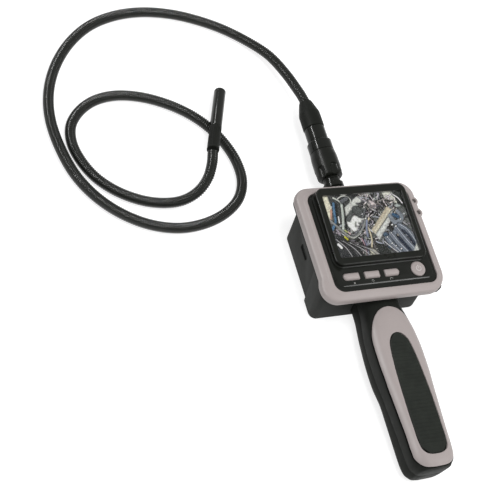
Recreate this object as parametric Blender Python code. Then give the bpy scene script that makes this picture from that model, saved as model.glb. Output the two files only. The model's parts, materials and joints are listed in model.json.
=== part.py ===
"""Hand-held inspection camera lying on its back: a screen head, a battery handle and a long gooseneck.

Frame: millimetres in the functions below, metres in the objects. +Y runs up the handle towards the
gooseneck, +X to the screen's right, +Z out of the screen. Z = 0 is the surface the camera lies on.
"""

import math

import bmesh
import bpy
import numpy as np
from mathutils import Vector

MM = 0.001
GAP = 0.3  # clearance kept between neighbouring pieces
FAR = 200.0  # reach of a cutter that has to pass everything

# Head: the display stack
HEAD_Y = 17.0  # centre of the screen bezel
TRIM_HALF_W = 53.1
TRIM_RIGHT_LESS = 0.7  # the right edge stands this much nearer the middle than the left
TRIM_FOOT_HALF_W = 54.7  # the bezel is a little wider at its foot
TRIM_HALF_H = 48.9
TRIM_BOTTOM_Z = 38.3
TRIM_EDGE_Z = 40.9
TRIM_TOP_Z = 46.4
PANEL_HALF_W = 45.0
PANEL_HALF_H = 42.0
PANEL_TOP_Z = 46.1
PANEL_THICK = 2.6
FRAME_HALF_W = 40.0
FRAME_Y = (-5.3, 59.8)
FRAME_TOP_Z = 50.6  # at the frame's foot, from where the top rises
FRAME_RISE = 0.04
SCREEN_SIZE = (70.1, 52.6)  # 3.5 inch, 4:3
SCREEN_Y = 27.1
MID_HALF_W = 51.2
MID_Z = (34.0, 38.0)

# Head: the case behind it
BOX_HALF_W = 47.1
BOX_DRAFT = 0.04  # growth of the half width per mm of height
BOX_LEAN = 0.216  # lean of the top and bottom walls per mm of height
BOX_Y = (-25.7, 47.8)  # at Z = 0
BOX_TOP_Z = 33.7
BOX_RIGHT_LESS = 1.6
BOX_CORNER = 6.0
BOX_WALL = 2.2
FOOT_EXTRA = 1.9  # how far the lower cover stands proud of the case
SEAM_Y = -9.5  # where the slanted seam meets Z = 0
SEAM_LEAN = 0.33
BOSSES = ((48.4, 46.2), (48.8, 35.6))
BOSS_R = 3.7
BOSS_TOP_Z = 46.0
BOSS_SIDE_X = 45.5  # the bosses are cut flat on the side towards the screen
BOSS_HOLE_R = 1.9
BOSS_SIDES = 28

# Handle
HANDLE_SPLIT_Z = 17.0
HANDLE_MID_Y = -89.0
HANDLE_HALF_L = 74.0
TRIM_SKIN = 1.6  # thickness of the oval trim and the rubber insert
TRIM_POCKET = 1.9
# y, half width, bottom, top, bottom corner radius, top corner radius
HANDLE_STATIONS = (
    (-162.6, 9.5, 4.2, 27.8, 5.0, 6.5),
    (-161.8, 12.6, 2.8, 30.2, 6.5, 8.0),
    (-160.0, 14.4, 1.8, 31.8, 7.0, 9.5),
    (-157.4, 16.4, 1.3, 32.9, 7.5, 10.0),
    (-153.5, 17.4, 1.2, 33.6, 7.5, 10.0),
    (-147.0, 17.8, 1.2, 33.9, 7.5, 9.5),
    (-133.0, 18.1, 1.2, 34.0, 8.5, 9.0),
    (-118.0, 18.8, 1.2, 34.0, 10.5, 8.5),
    (-104.0, 19.4, 1.0, 34.0, 12.3, 8.0),
    (-97.0, 19.9, 0.6, 34.0, 12.2, 8.0),
    (-90.0, 20.5, 0.2, 34.0, 12.2, 8.0),
    (-80.0, 20.7, 0.0, 34.0, 12.6, 8.0),
    (-69.0, 20.7, 0.0, 34.0, 13.5, 8.0),
    (-59.0, 19.9, 0.3, 34.0, 13.0, 8.0),
    (-52.0, 19.0, 0.8, 33.9, 11.5, 8.0),
    (-43.0, 17.2, 1.0, 33.6, 9.5, 8.0),
    (-35.0, 15.7, 1.0, 33.1, 8.2, 8.0),
    (-15.0, 15.3, 1.0, 32.8, 8.0, 8.0),
)
# Right halves of the oval outlines on the handle's front, from the top to the foot
OVAL_HALF = (
    (0.0, -35.3),
    (6.5, -36.8),
    (11.0, -40.0),
    (14.5, -44.5),
    (17.0, -50.0),
    (18.9, -57.0),
    (19.8, -66.0),
    (20.0, -78.0),
    (19.6, -92.0),
    (18.8, -106.0),
    (18.1, -120.0),
    (17.4, -134.0),
    (17.1, -147.0),
    (16.4, -153.0),
    (13.8, -157.6),
    (9.8, -160.2),
    (4.5, -161.2),
    (0.0, -161.4),
)
INSERT_HALF = (
    (0.0, -57.2),
    (4.5, -58.8),
    (7.9, -63.4),
    (9.6, -71.0),
    (10.9, -84.5),
    (11.7, -100.0),
    (12.1, -116.0),
    (12.1, -131.0),
    (11.8, -143.0),
    (10.5, -148.2),
    (7.5, -151.2),
    (3.0, -152.5),
    (0.0, -152.6),
)

# Batteries: four AA cells, two side by side and two deep
CELL_R = 7.2
CELL_L = 50.0
CELL_X = 7.5
CELL_Z = 13.6
CELL_Y = (-152.5, -101.0)
DOOR_HALF_W = 12.0
DOOR_TOP_Z = 5.5
DOOR_END_Y = -48.0

# Controls
PILL_Y = -13.3
PILL_HALF_H = 3.0
PILLS = {"button_menu": (-36.2, -22.3), "button_up": (-17.9, -4.7), "button_down": (-0.4, 12.6)}
POWER_XY = (29.7, -12.8)
POWER_R = 6.15
BUTTON_TOP_Z = 47.2

# Gooseneck and its connector, on one axis along Y
NECK_Z = 16.5
GRIP_COUNT = 6  # broad recesses round the lower end of the lock ring
GRIP_R = 4.2
GRIP_AXIS_R = 13.2
TUBE_R = 4.25
TUBE_POINTS = 76
TIP_R = 4.9
TIP_START = (-97.1, 118.3, 19.8)
TIP_JOINT = (-86.6, 141.95, 14.64)
TIP_END = (-68.4, 182.9, 5.7)
# Route of the gooseneck's centre line, from the strain relief to the camera head
ROUTE = (
    (0.0, 162.4, 16.5),
    (-0.9, 169.0, 16.1),
    (-2.6, 177.0, 15.2),
    (-6.5, 195.0, 12.3),
    (-14.5, 217.0, 8.4),
    (-28.5, 234.0, 5.4),
    (-47.5, 248.0, 4.4),
    (-68.0, 257.5, 4.3),
    (-90.0, 264.0, 4.3),
    (-116.0, 266.5, 4.3),
    (-141.0, 263.0, 4.3),
    (-165.0, 253.0, 4.3),
    (-186.0, 235.5, 4.3),
    (-202.5, 212.5, 4.3),
    (-212.5, 188.0, 4.3),
    (-216.0, 164.0, 4.3),
    (-213.5, 137.0, 4.3),
    (-206.5, 112.5, 4.3),
    (-194.0, 92.0, 4.3),
    (-177.0, 76.0, 4.3),
    (-156.5, 65.0, 4.3),
    (-134.5, 60.5, 4.3),
    (-112.5, 63.0, 4.3),
    (-93.0, 71.0, 4.3),
    (-79.0, 83.0, 4.3),
    (-72.0, 98.5, 4.3),
    (-72.0, 116.5, 4.3),
    (-77.5, 134.0, 4.3),
    (-86.5, 149.0, 4.3),
    (-99.0, 162.0, 4.3),
    (-116.0, 173.0, 4.3),
    (-137.0, 181.0, 4.3),
    (-158.5, 183.5, 4.3),
    (-177.0, 179.5, 4.3),
    (-191.5, 170.0, 4.3),
    (-201.0, 157.0, 4.3),
    (-203.5, 141.5, 4.3),
    (-199.5, 124.5, 4.3),
    (-190.0, 108.0, 4.3),
    (-173.0, 93.5, 4.3),
    (-151.0, 84.4, 4.5),
    (-130.0, 82.3, 7.2),
    (-116.3, 86.4, 12.2),
    (-107.2, 94.7, 17.4),
    (-101.4, 106.0, 20.3),
    (-97.5, 116.9, 20.0),
)


def clear_scene():
    for obj in list(bpy.data.objects):
        bpy.data.objects.remove(obj, do_unlink=True)


def material(name, rgb, roughness, metallic=0.0):
    mat = bpy.data.materials.new(name)
    mat.use_nodes = True
    shader = mat.node_tree.nodes["Principled BSDF"]
    shader.inputs["Base Color"].default_value = (*rgb, 1.0)
    shader.inputs["Roughness"].default_value = roughness
    shader.inputs["Metallic"].default_value = metallic
    mat.diffuse_color = (*rgb, 1.0)
    return mat


def add_mesh(name, verts, faces, mat):
    """One closed mesh object from millimetre points, with its faces turned outwards."""
    mesh = bpy.data.meshes.new(name)
    mesh.from_pydata([tuple(c * MM for c in v) for v in verts], [], faces)
    bm = bmesh.new()
    bm.from_mesh(mesh)
    bmesh.ops.recalc_face_normals(bm, faces=bm.faces)
    bm.to_mesh(mesh)
    bm.free()
    obj = bpy.data.objects.new(name, mesh)
    bpy.context.scene.collection.objects.link(obj)
    if mat is None:
        obj.hide_render = True
        obj.display_type = "WIRE"
    else:
        mesh.materials.append(mat)
        mesh.shade_smooth()
        mesh.set_sharp_from_angle(angle=math.radians(35))
    return obj


def ring_faces(ring_count, points, closed):
    """Quads between successive rings; a loft that isn't closed on itself gets two end caps."""
    faces = []
    last = ring_count if closed else ring_count - 1
    for i in range(last):
        a = i * points
        b = ((i + 1) % ring_count) * points
        for j in range(points):
            k = (j + 1) % points
            faces.append((a + j, a + k, b + k, b + j))
    if not closed:
        faces.append(tuple(range(points)))
        faces.append(tuple(range((ring_count - 1) * points, ring_count * points)))
    return faces


def loft(name, rings, mat, closed=False):
    points = len(rings[0])
    verts = [p for ring in rings for p in ring]
    return add_mesh(name, verts, ring_faces(len(rings), points, closed), mat)


def guide(name, solids):
    """One cutter made of several separate lofts."""
    verts = []
    faces = []
    for rings in solids:
        base = len(verts)
        verts += [p for ring in rings for p in ring]
        for face in ring_faces(len(rings), len(rings[0]), False):
            faces.append(tuple(base + i for i in face))
    return add_mesh(name, verts, faces, None)


def copies(name, solids, mat):
    """One node for each repeat of a piece, numbered from 1."""
    for i, rings in enumerate(solids):
        loft(f"{name}_{i + 1}", rings, mat)


def flat_ring(outline, z):
    return [(x, y, z) for x, y in outline]


def rounded(corners, steps=4):
    """A closed outline from (x, y, radius) corners, with the same number of points at each."""
    points = []
    count = len(corners)
    for i, (x, y, r) in enumerate(corners):
        here = Vector((x, y))
        before = (Vector(corners[i - 1][:2]) - here).normalized()
        after = (Vector(corners[(i + 1) % count][:2]) - here).normalized()
        half = before.angle(after) / 2
        if half > math.radians(89):
            points += [tuple(here + before * r * (1 - 2 * k / steps)) for k in range(steps + 1)]
            continue
        reach = r / math.tan(half)
        centre = here + (before + after).normalized() * (r / math.sin(half))
        start = here + before * reach - centre
        stop = here + after * reach - centre
        sweep = math.pi - 2 * half
        turn = 1 if start.x * stop.y - start.y * stop.x > 0 else -1
        for k in range(steps + 1):
            a = turn * sweep * k / steps
            c, s = math.cos(a), math.sin(a)
            points.append((centre.x + start.x * c - start.y * s, centre.y + start.x * s + start.y * c))
    return points


def rect(half_w, y0, y1, radius, x=0.0):
    return [
        (x - half_w, y0, radius),
        (x + half_w, y0, radius),
        (x + half_w, y1, radius),
        (x - half_w, y1, radius),
    ]


def block(x0, x1, y0, y1, z0, z1):
    outline = [(x0, y0), (x1, y0), (x1, y1), (x0, y1)]
    return [flat_ring(outline, z0), flat_ring(outline, z1)]


def turned(profile, origin, direction, segments=24):
    """Rings round an axis: profile is a list of (distance along the axis, radius)."""
    along = Vector(direction).normalized()
    side = along.orthogonal().normalized()
    if abs(along.z) < 0.99:
        side = Vector((0, 0, 1)).cross(along).normalized()
    other = along.cross(side)
    rings = []
    for distance, radius in profile:
        centre = Vector(origin) + along * distance
        ring = []
        for i in range(segments):
            a = 2 * math.pi * i / segments
            ring.append(tuple(centre + (side * math.cos(a) + other * math.sin(a)) * radius))
        rings.append(ring)
    return rings


def on_neck(profile, segments=32):
    """Rings on the gooseneck's axis: the profile's distances are plain Y values."""
    return turned(profile, (0.0, 0.0, NECK_Z), (0, 1, 0), segments)


def boolean(obj, cutter, operation="DIFFERENCE"):
    modifier = obj.modifiers.new(operation.title(), "BOOLEAN")
    modifier.operation = operation
    modifier.object = cutter
    modifier.solver = "EXACT"
    return obj


def grown(outline, distance):
    """The outline moved outwards along its normals; a negative distance shrinks it."""
    result = []
    count = len(outline)
    area = sum(
        outline[i][0] * outline[(i + 1) % count][1] - outline[(i + 1) % count][0] * outline[i][1]
        for i in range(count)
    )
    side = 1 if area > 0 else -1
    for i in range(count):
        ax, ay = outline[i - 1]
        bx, by = outline[(i + 1) % count]
        length = math.hypot(bx - ax, by - ay)
        nx, ny = side * (by - ay) / length, -side * (bx - ax) / length
        result.append((outline[i][0] + nx * distance, outline[i][1] + ny * distance))
    return result


def mirrored(half):
    """A whole outline from its right half, whose first and last points are on the centre line."""
    return list(half) + [(-x, y) for x, y in reversed(half[1:-1])]


# ---------------------------------------------------------------- handle


def handle_ring(station, inset, top_drop=0.0):
    """The handle's section at one station, with every wall moved in by inset."""
    y, half_w, bottom, top, r_bottom, r_top = station
    y = HANDLE_MID_Y + (y - HANDLE_MID_Y) * (1 - inset / HANDLE_HALF_L)
    half_w -= inset
    bottom += inset
    top -= max(inset, top_drop)
    low = max(r_bottom - inset, 0.8)
    high = max(r_top - inset, 0.8)
    corners = [
        (-half_w, bottom, low),
        (half_w, bottom, low),
        (half_w, top, high),
        (-half_w, top, high),
    ]
    section = rounded(corners, 5)
    crown = [((half_w - high) * f, top + 0.6 * (1 - f * f)) for f in (0.5, 0.0, -0.5)]
    return [(x, y, z) for x, z in section[:18] + crown + section[18:]]


def handle_solid(name, inset, mat=None, top_drop=0.0, stations=HANDLE_STATIONS):
    return loft(name, [handle_ring(s, inset, top_drop) for s in stations], mat)


def handle_neck_stations():
    """The few stations where the handle passes into the head, with one more below the wall."""
    return [s for s in HANDLE_STATIONS if s[0] > -60.0] + [(-8.0, *HANDLE_STATIONS[-1][1:])]


def prism(name, outline, z0, z1, mat=None):
    return loft(name, [flat_ring(outline, z0), flat_ring(outline, z1)], mat)


def half_space(name, keep_above, z):
    low, high = (z, FAR) if keep_above else (-FAR, z)
    return loft(name, block(-FAR, FAR, -FAR, FAR, low, high), None)


def make_handle(mats):
    black = mats["black_plastic"]
    core = handle_solid("core_guide", TRIM_POCKET)
    skin_core = handle_solid("skin_core_guide", TRIM_SKIN)
    oval = mirrored(OVAL_HALF)
    insert = mirrored(INSERT_HALF)

    pocket = prism("oval_pocket_guide", grown(oval, GAP), 26.6, 45.0)
    boolean(pocket, core)
    front = handle_solid("handle_front_shell", 0.0, black)
    boolean(front, half_space("front_half_guide", True, HANDLE_SPLIT_Z + GAP / 2), "INTERSECT")
    boolean(front, handle_solid("front_hollow_guide", 3.1, None, 3.9))
    boolean(front, pocket)

    back = handle_solid("handle_back_shell", 0.0, black)
    boolean(back, half_space("back_half_guide", False, HANDLE_SPLIT_Z - GAP / 2), "INTERSECT")
    boolean(back, handle_solid("back_hollow_guide", 2.1))
    bay = block(-DOOR_HALF_W, DOOR_HALF_W, -FAR, DOOR_END_Y, -FAR, DOOR_TOP_Z)
    boolean(back, loft("door_way_guide", bay, None))

    door_room = block(
        GAP - DOOR_HALF_W, DOOR_HALF_W - GAP, -FAR, DOOR_END_Y - GAP, -FAR, DOOR_TOP_Z - GAP
    )
    door = handle_solid("battery_door", 0.0, black)
    boolean(door, loft("door_room_guide", door_room, None), "INTERSECT")
    boolean(door, handle_solid("door_hollow_guide", 2.1))

    trim = prism("grip_trim", oval, 27.0, 45.0, mats["light_plastic"])
    boolean(trim, handle_solid("trim_skin_guide", 0.0), "INTERSECT")
    boolean(trim, skin_core)
    boolean(trim, prism("insert_pocket_guide", grown(insert, GAP), 20.0, 45.0))

    rubber = prism("grip_insert", insert, 27.0, 45.0, mats["rubber"])
    boolean(rubber, handle_solid("insert_skin_guide", 0.0), "INTERSECT")
    boolean(rubber, skin_core)


def make_batteries(mats):
    for row, y0 in enumerate(CELL_Y):
        for column, x in enumerate((-CELL_X, CELL_X)):
            flip = (row + column) % 2
            start, along = (y0 + CELL_L, -1) if flip else (y0, 1)
            profile = [
                (0.0, CELL_R - 0.8),
                (0.4, CELL_R),
                (CELL_L - 1.6, CELL_R),
                (CELL_L - 1.2, 2.9),
                (CELL_L - 0.2, 2.6),
            ]
            rings = turned(profile, (x, start, CELL_Z), (0, along, 0), 24)
            loft(f"battery_{1 + column + 2 * row}", rings, mats["cell"])
    plates = [
        block(-12.5, 12.5, -155.6, -155.1, 8.5, 18.5),
        block(-12.5, -1.0, -48.2, -47.7, 8.5, 18.5),
        block(1.0, 12.5, -48.2, -47.7, 8.5, 18.5),
    ]
    copies("battery_contact", plates, mats["nickel"])
    springs = [spring_rings(CELL_X, -154.8, 1), spring_rings(-CELL_X, -48.5, -1)]
    copies("battery_spring", springs, mats["nickel"])


def spring_rings(x, y, sign):
    """A short conical coil between a contact plate and the flat end of a cell."""
    wire = 0.3
    turns = 2.5
    steps = 30
    rise = 1.5
    up = Vector((0, 1, 0))
    rings = []
    for i in range(steps + 1):
        t = i / steps
        a = 2 * math.pi * turns * t
        out = Vector((math.cos(a), 0, math.sin(a)))
        centre = Vector((x, y + sign * (0.35 + rise * t), CELL_Z)) + out * (5.0 - 2.4 * t)
        ring = []
        for k in range(6):
            b = k * math.pi / 3
            ring.append(tuple(centre + (out * math.cos(b) + up * math.sin(b)) * wire))
        rings.append(ring)
    return rings


# ---------------------------------------------------------------- head case


def case_ring(z, inset, extra=0.0):
    """A section of the head's case: its walls lean with the height."""
    left = BOX_HALF_W + BOX_DRAFT * z + extra - inset
    right = left - BOX_RIGHT_LESS
    low = BOX_Y[0] + BOX_LEAN * z + inset
    high = BOX_Y[1] + BOX_LEAN * z - inset
    corners = [
        (-left, low, max(BOX_CORNER - inset, 1.0)),
        (right, low, max(BOX_CORNER + 2.0 - inset, 1.0)),
        (right, high, max(BOX_CORNER - inset, 1.0)),
        (-left, high, max(BOX_CORNER - 2.0 - inset, 1.0)),
    ]
    return flat_ring(rounded(corners), z)


def case_solid(name, extra, mat):
    heights = ((0.0, 1.3), (0.4, 0.4), (1.3, 0.0), (BOX_TOP_Z, 0.0))
    return loft(name, [case_ring(z, inset, extra) for z, inset in heights], mat)


def case_hollow(name):
    heights = ((BOX_WALL, BOX_WALL + 1.6), (BOX_WALL + 1.6, BOX_WALL), (BOX_TOP_Z + 5.0, BOX_WALL))
    return loft(name, [case_ring(z, inset) for z, inset in heights], None)


def seam_cutter(name, above, shift):
    """Everything on one side of the slanted seam between the case and its lower cover."""
    low, high = -5.0, 45.0
    far = FAR if above else -FAR
    rings = []
    for x in (-FAR, FAR):
        rings.append(
            [
                (x, SEAM_Y + shift + SEAM_LEAN * low, low),
                (x, SEAM_Y + shift + SEAM_LEAN * high, high),
                (x, far, high),
                (x, far, low),
            ]
        )
    return loft(name, rings, None)


def make_case(mats):
    grey = mats["grey_plastic"]
    case = case_solid("head_back_shell", 0.0, grey)
    boolean(case, seam_cutter("upper_guide", True, GAP / 2), "INTERSECT")
    boolean(case, case_hollow("case_hollow_guide"))
    boolean(case, loft("neck_hole_guide", on_neck([(44.0, 7.3), (60.0, 7.3)]), None))
    boolean(case, loft("port_way_guide", block(-52.0, -40.0, 15.2, 28.2, 19.4, 24.8), None))
    boolean(case, guide("screw_holes_guide", screw_rings(0.25, -1.0, 3.0)))

    cover = case_solid("head_lower_cover", FOOT_EXTRA, grey)
    boolean(cover, seam_cutter("lower_guide", False, -GAP / 2), "INTERSECT")
    boolean(cover, case_hollow("cover_hollow_guide"))
    boolean(cover, handle_solid("handle_way_guide", -GAP, None, -GAP, handle_neck_stations()))

    outline = rounded(rect(6.2, 19.7, 24.5, 1.6, 21.7))
    side = [[(x, y, z) for y, z in outline] for x in (-46.6, -45.3)]
    loft("port_cover", side, mats["rubber"])
    loft("card_socket", block(-44.3, -30.0, 15.0, 28.4, 20.6, 23.4), mats["nickel"])


def screw_rings(clearance, z0, z1):
    """Round solids for the case screws: heads, or with some clearance the holes they sit in."""
    r_head, r_shank = 2.6 + clearance, 1.2 + clearance
    profile = [(z0, r_head), (1.9, r_head), (2.0, r_shank), (z1, r_shank)]
    parts = []
    for x in (-38.0, 38.0):
        for y in (8.0, 40.0):
            parts.append(turned(profile, (x, y, 0.0), (0, 0, 1), 12))
    return parts


def make_middle(mats):
    outline = rounded(rect(MID_HALF_W, -29.0, 62.0, 5.5))
    opening = rounded(rect(42.5, -22.5, 56.5, 5.0))
    rings = [
        flat_ring(outline, MID_Z[0]),
        flat_ring(outline, MID_Z[1]),
        flat_ring(opening, MID_Z[1]),
        flat_ring(opening, MID_Z[0]),
    ]
    loft("middle_frame", rings, mats["black_plastic"], closed=True)


# ---------------------------------------------------------------- display stack


def bezel_outline(inset=0.0):
    """The light bezel's outer outline; its left edge steps out near the foot."""
    low, high = HEAD_Y - TRIM_HALF_H, HEAD_Y + TRIM_HALF_H
    wide, narrow = TRIM_FOOT_HALF_W - inset, TRIM_HALF_W - inset
    edge = narrow - TRIM_RIGHT_LESS
    right = [
        (edge, low + inset, 16.5 - inset),
        (edge, -13.0, 1.0),
        (edge, -10.0, 1.0),
        (edge, high - inset, 13.0 - inset),
    ]
    left = [
        (-narrow, high - inset, 11.5 - inset),
        (-narrow, -11.0, 3.0),
        (-wide, -16.5, 3.0),
        (-wide, low + inset, 12.0 - inset),
    ]
    return rounded(right + left, 5)


def panel_outline(inset=0.0):
    """The bezel's inner outline, point for point opposite the outer one."""
    low, high = HEAD_Y - PANEL_HALF_H + inset, HEAD_Y + PANEL_HALF_H - inset
    half_w = PANEL_HALF_W - inset
    right = [
        (half_w, low, 8.0 - inset),
        (half_w, -14.0, 1.0),
        (half_w, -10.0, 1.0),
        (half_w, high, 8.0 - inset),
    ]
    left = [(-x, y, r) for x, y, r in reversed(right)]
    return rounded(right + left, 5)


def between(a, b, t):
    return [(p[0] + (q[0] - p[0]) * t, p[1] + (q[1] - p[1]) * t) for p, q in zip(a, b)]


def make_bezel(mats):
    outer, inner = bezel_outline(), panel_outline()
    under = bezel_outline(1.2)
    rings = [
        flat_ring(under, TRIM_BOTTOM_Z),
        flat_ring(outer, TRIM_EDGE_Z - 0.8),
        flat_ring(outer, TRIM_EDGE_Z + 0.6),
        flat_ring(between(outer, inner, 0.10), 43.4),
        flat_ring(between(outer, inner, 0.30), 45.0),
        flat_ring(between(outer, inner, 0.62), TRIM_TOP_Z),
        flat_ring(between(outer, inner, 0.95), TRIM_TOP_Z),
        flat_ring(inner, TRIM_TOP_Z - 0.5),
        flat_ring(inner, TRIM_BOTTOM_Z),
    ]
    bezel = loft("screen_bezel", rings, mats["light_plastic"], closed=True)
    bosses = boss_rings([(39.0, 0.0), (BOSS_TOP_Z - 0.4, 0.0), (BOSS_TOP_Z, -0.4)])
    boolean(bezel, guide("boss_guide", bosses), "UNION")
    boolean(bezel, guide("boss_hole_guide", on_bosses([(42.0, BOSS_HOLE_R), (60.0, BOSS_HOLE_R)], 16)))
    copies("bezel_screw", on_bosses([(42.3, 1.3), (44.4, 1.3), (44.7, 1.0)], 12), mats["nickel"])


def boss_rings(heights):
    """The two round bosses on the bezel's right edge, cut flat where they meet the panel."""
    solids = []
    for x, y in BOSSES:
        outline = []
        for i in range(BOSS_SIDES):
            a = 2 * math.pi * (i + 0.5) / BOSS_SIDES
            outline.append((max(x + BOSS_R * math.cos(a), BOSS_SIDE_X), y + BOSS_R * math.sin(a)))
        solids.append([flat_ring(grown(outline, less), z) for z, less in heights])
    return solids


def on_bosses(profile, segments):
    return [turned(profile, (x, y, 0.0), (0, 0, 1), segments) for x, y in BOSSES]


def frame_top(y):
    return FRAME_TOP_Z + FRAME_RISE * (y - FRAME_Y[0])


def sloped_ring(outline, drop):
    return [(x, y, frame_top(y) - drop) for x, y in outline]


def make_display(mats):
    gloss = mats["gloss_black"]
    top, low = PANEL_TOP_Z, PANEL_TOP_Z - PANEL_THICK
    panel_edge = panel_outline(GAP)
    panel = loft("front_panel", [flat_ring(panel_edge, low), flat_ring(panel_edge, top)], gloss)
    window_hole = rounded(rect(37.8, -1.6, 56.8, 3.0))
    boolean(panel, prism("screen_hole_guide", window_hole, 30.0, 60.0))
    for name, (x0, x1) in PILLS.items():
        hole = pill_outline(x0 - GAP, x1 + GAP, PILL_HALF_H + GAP)
        boolean(panel, prism(f"{name}_hole_guide", hole, 30.0, 60.0))
    power_hole = turned([(30.0, POWER_R + GAP), (60.0, POWER_R + GAP)], (*POWER_XY, 0), (0, 0, 1), 32)
    boolean(panel, loft("power_hole_guide", power_hole, None))

    half_w, half_h = SCREEN_SIZE[0] / 2, SCREEN_SIZE[1] / 2
    outer = rounded(rect(FRAME_HALF_W, *FRAME_Y, 6.5), 5)
    inset = rounded(rect(FRAME_HALF_W - 1.2, FRAME_Y[0] + 1.2, FRAME_Y[1] - 1.2, 5.5), 5)
    hole = rounded(rect(half_w, SCREEN_Y - half_h, SCREEN_Y + half_h, 1.5), 5)
    rings = [
        flat_ring(outer, top + GAP),
        sloped_ring(outer, 1.0),
        sloped_ring(inset, 0.0),
        sloped_ring(hole, 0.0),
        flat_ring(hole, top + GAP),
    ]
    loft("screen_frame", rings, gloss, closed=True)

    pane = rounded(rect(half_w - GAP, SCREEN_Y - half_h + GAP, SCREEN_Y + half_h - GAP, 1.2))
    loft("screen_window", [sloped_ring(pane, 1.7), sloped_ring(pane, 0.7)], mats["clear"])
    cell = rounded(rect(half_w - 0.4, SCREEN_Y - half_h + 0.4, SCREEN_Y + half_h - 0.4, 0.8))
    loft("lcd_panel", [flat_ring(cell, 43.5), sloped_ring(cell, 2.0)], mats["lcd"])
    loft("backlight", block(-37.2, 37.2, -1.2, 56.2, 40.6, 43.2), mats["white_plastic"])


def pill_outline(x0, x1, half_h):
    """A button of the row: the two ends of the row are round, the others nearly square."""
    left = half_h * 0.97 if x0 < -30 else 0.8
    right = half_h * 0.97 if x1 > 10 else 0.8
    low, high = PILL_Y - half_h, PILL_Y + half_h
    return rounded([(x0, low, left), (x1, low, right), (x1, high, right), (x0, high, left)], 4)


def make_controls(mats):
    light = mats["light_plastic"]
    under = PANEL_TOP_Z - PANEL_THICK - GAP
    for name, (x0, x1) in PILLS.items():
        cap = pill_outline(x0, x1, PILL_HALF_H)
        foot = pill_outline(x0 - 0.9, x1 + 0.9, PILL_HALF_H + 1.2)
        rings = [
            flat_ring(foot, under - 1.0),
            flat_ring(foot, under),
            flat_ring(cap, under),
            flat_ring(cap, BUTTON_TOP_Z - 0.5),
            flat_ring(grown(cap, -0.5), BUTTON_TOP_Z),
        ]
        loft(name, rings, light)
    profile = [
        (under - 1.0, POWER_R + 1.2),
        (under, POWER_R + 1.2),
        (under, POWER_R),
        (BUTTON_TOP_Z - 0.6, POWER_R),
        (BUTTON_TOP_Z, POWER_R - 0.8),
    ]
    loft("button_power", turned(profile, (*POWER_XY, 0), (0, 0, 1), 32), light)

    centres = [((x0 + x1) / 2, PILL_Y) for x0, x1 in PILLS.values()] + [POWER_XY]
    switches = [block(x - 3.0, x + 3.0, y - 3.0, y + 3.0, 38.6, 41.0) for x, y in centres]
    copies("tact_switch", switches, mats["nickel"])
    loft("keypad_board", block(-40.0, 40.0, -21.5, -5.5, 36.9, 38.3), mats["board"])
    loft("main_board", block(-40.0, 40.0, -4.0, 46.0, 27.0, 28.6), mats["board"])
    loft("video_chip", block(-26.0, -12.0, 14.0, 28.0, 28.9, 30.4), mats["chip"])


# ---------------------------------------------------------------- gooseneck


def make_connector(mats):
    black = mats["black_plastic"]
    socket = [
        (43.0, 9.5),
        (45.6, 9.5),
        (45.6, 7.0),
        (77.6, 7.0),
        (78.2, 8.5),
        (81.4, 8.5),
        (82.0, 7.0),
        (96.0, 7.0),
        (96.0, 4.7),
        (66.0, 4.7),
        (66.0, 2.6),
        (43.0, 2.6),
    ]
    loft("neck_socket", on_neck(socket, 28), black, closed=True)

    ring = [
        (87.2, 8.2),
        (88.2, 9.9),
        (90.0, 10.8),
        (97.0, 11.0),
        (106.0, 10.9),
        (111.8, 10.3),
        (111.8, 7.5),
        (87.2, 7.5),
    ]
    nut = loft("lock_ring", on_neck(ring, 40), black, closed=True)
    grips = []
    for i in range(GRIP_COUNT):
        a = 2 * math.pi * (i + 0.5) / GRIP_COUNT
        origin = (GRIP_AXIS_R * math.cos(a), 84.0, NECK_Z + GRIP_AXIS_R * math.sin(a))
        grips.append(turned([(0.0, GRIP_R), (11.2, GRIP_R), (13.2, 2.2)], origin, (0, 1, 0), 16))
    boolean(nut, guide("grip_guide", grips))

    plug = [(67.0, 4.2), (97.0, 4.2), (97.0, 7.1), (111.7, 7.1)]
    plug_body = loft("plug_body", on_neck(plug), mats["nickel"])
    pins = []
    for i in range(4):
        a = math.pi / 4 + i * math.pi / 2
        origin = (1.7 * math.cos(a), 61.0, NECK_Z + 1.7 * math.sin(a))
        pins.append(turned([(0.0, 0.35), (0.4, 0.5), (7.0, 0.5)], origin, (0, 1, 0), 8))
    boolean(plug_body, guide("pin_guide", pins), "UNION")
    loft("connector_collar", on_neck([(112.1, 10.2), (121.3, 10.3), (122.0, 9.8)]), black)
    loft("connector_sleeve", on_neck([(122.3, 8.6), (135.1, 8.7)]), black)
    relief = [(135.4, 8.5), (135.9, 8.9), (149.6, 8.9), (150.6, 8.7), (161.0, 5.9), (161.5, 5.3)]
    loft("strain_relief", on_neck(relief), mats["rubber"])


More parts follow.
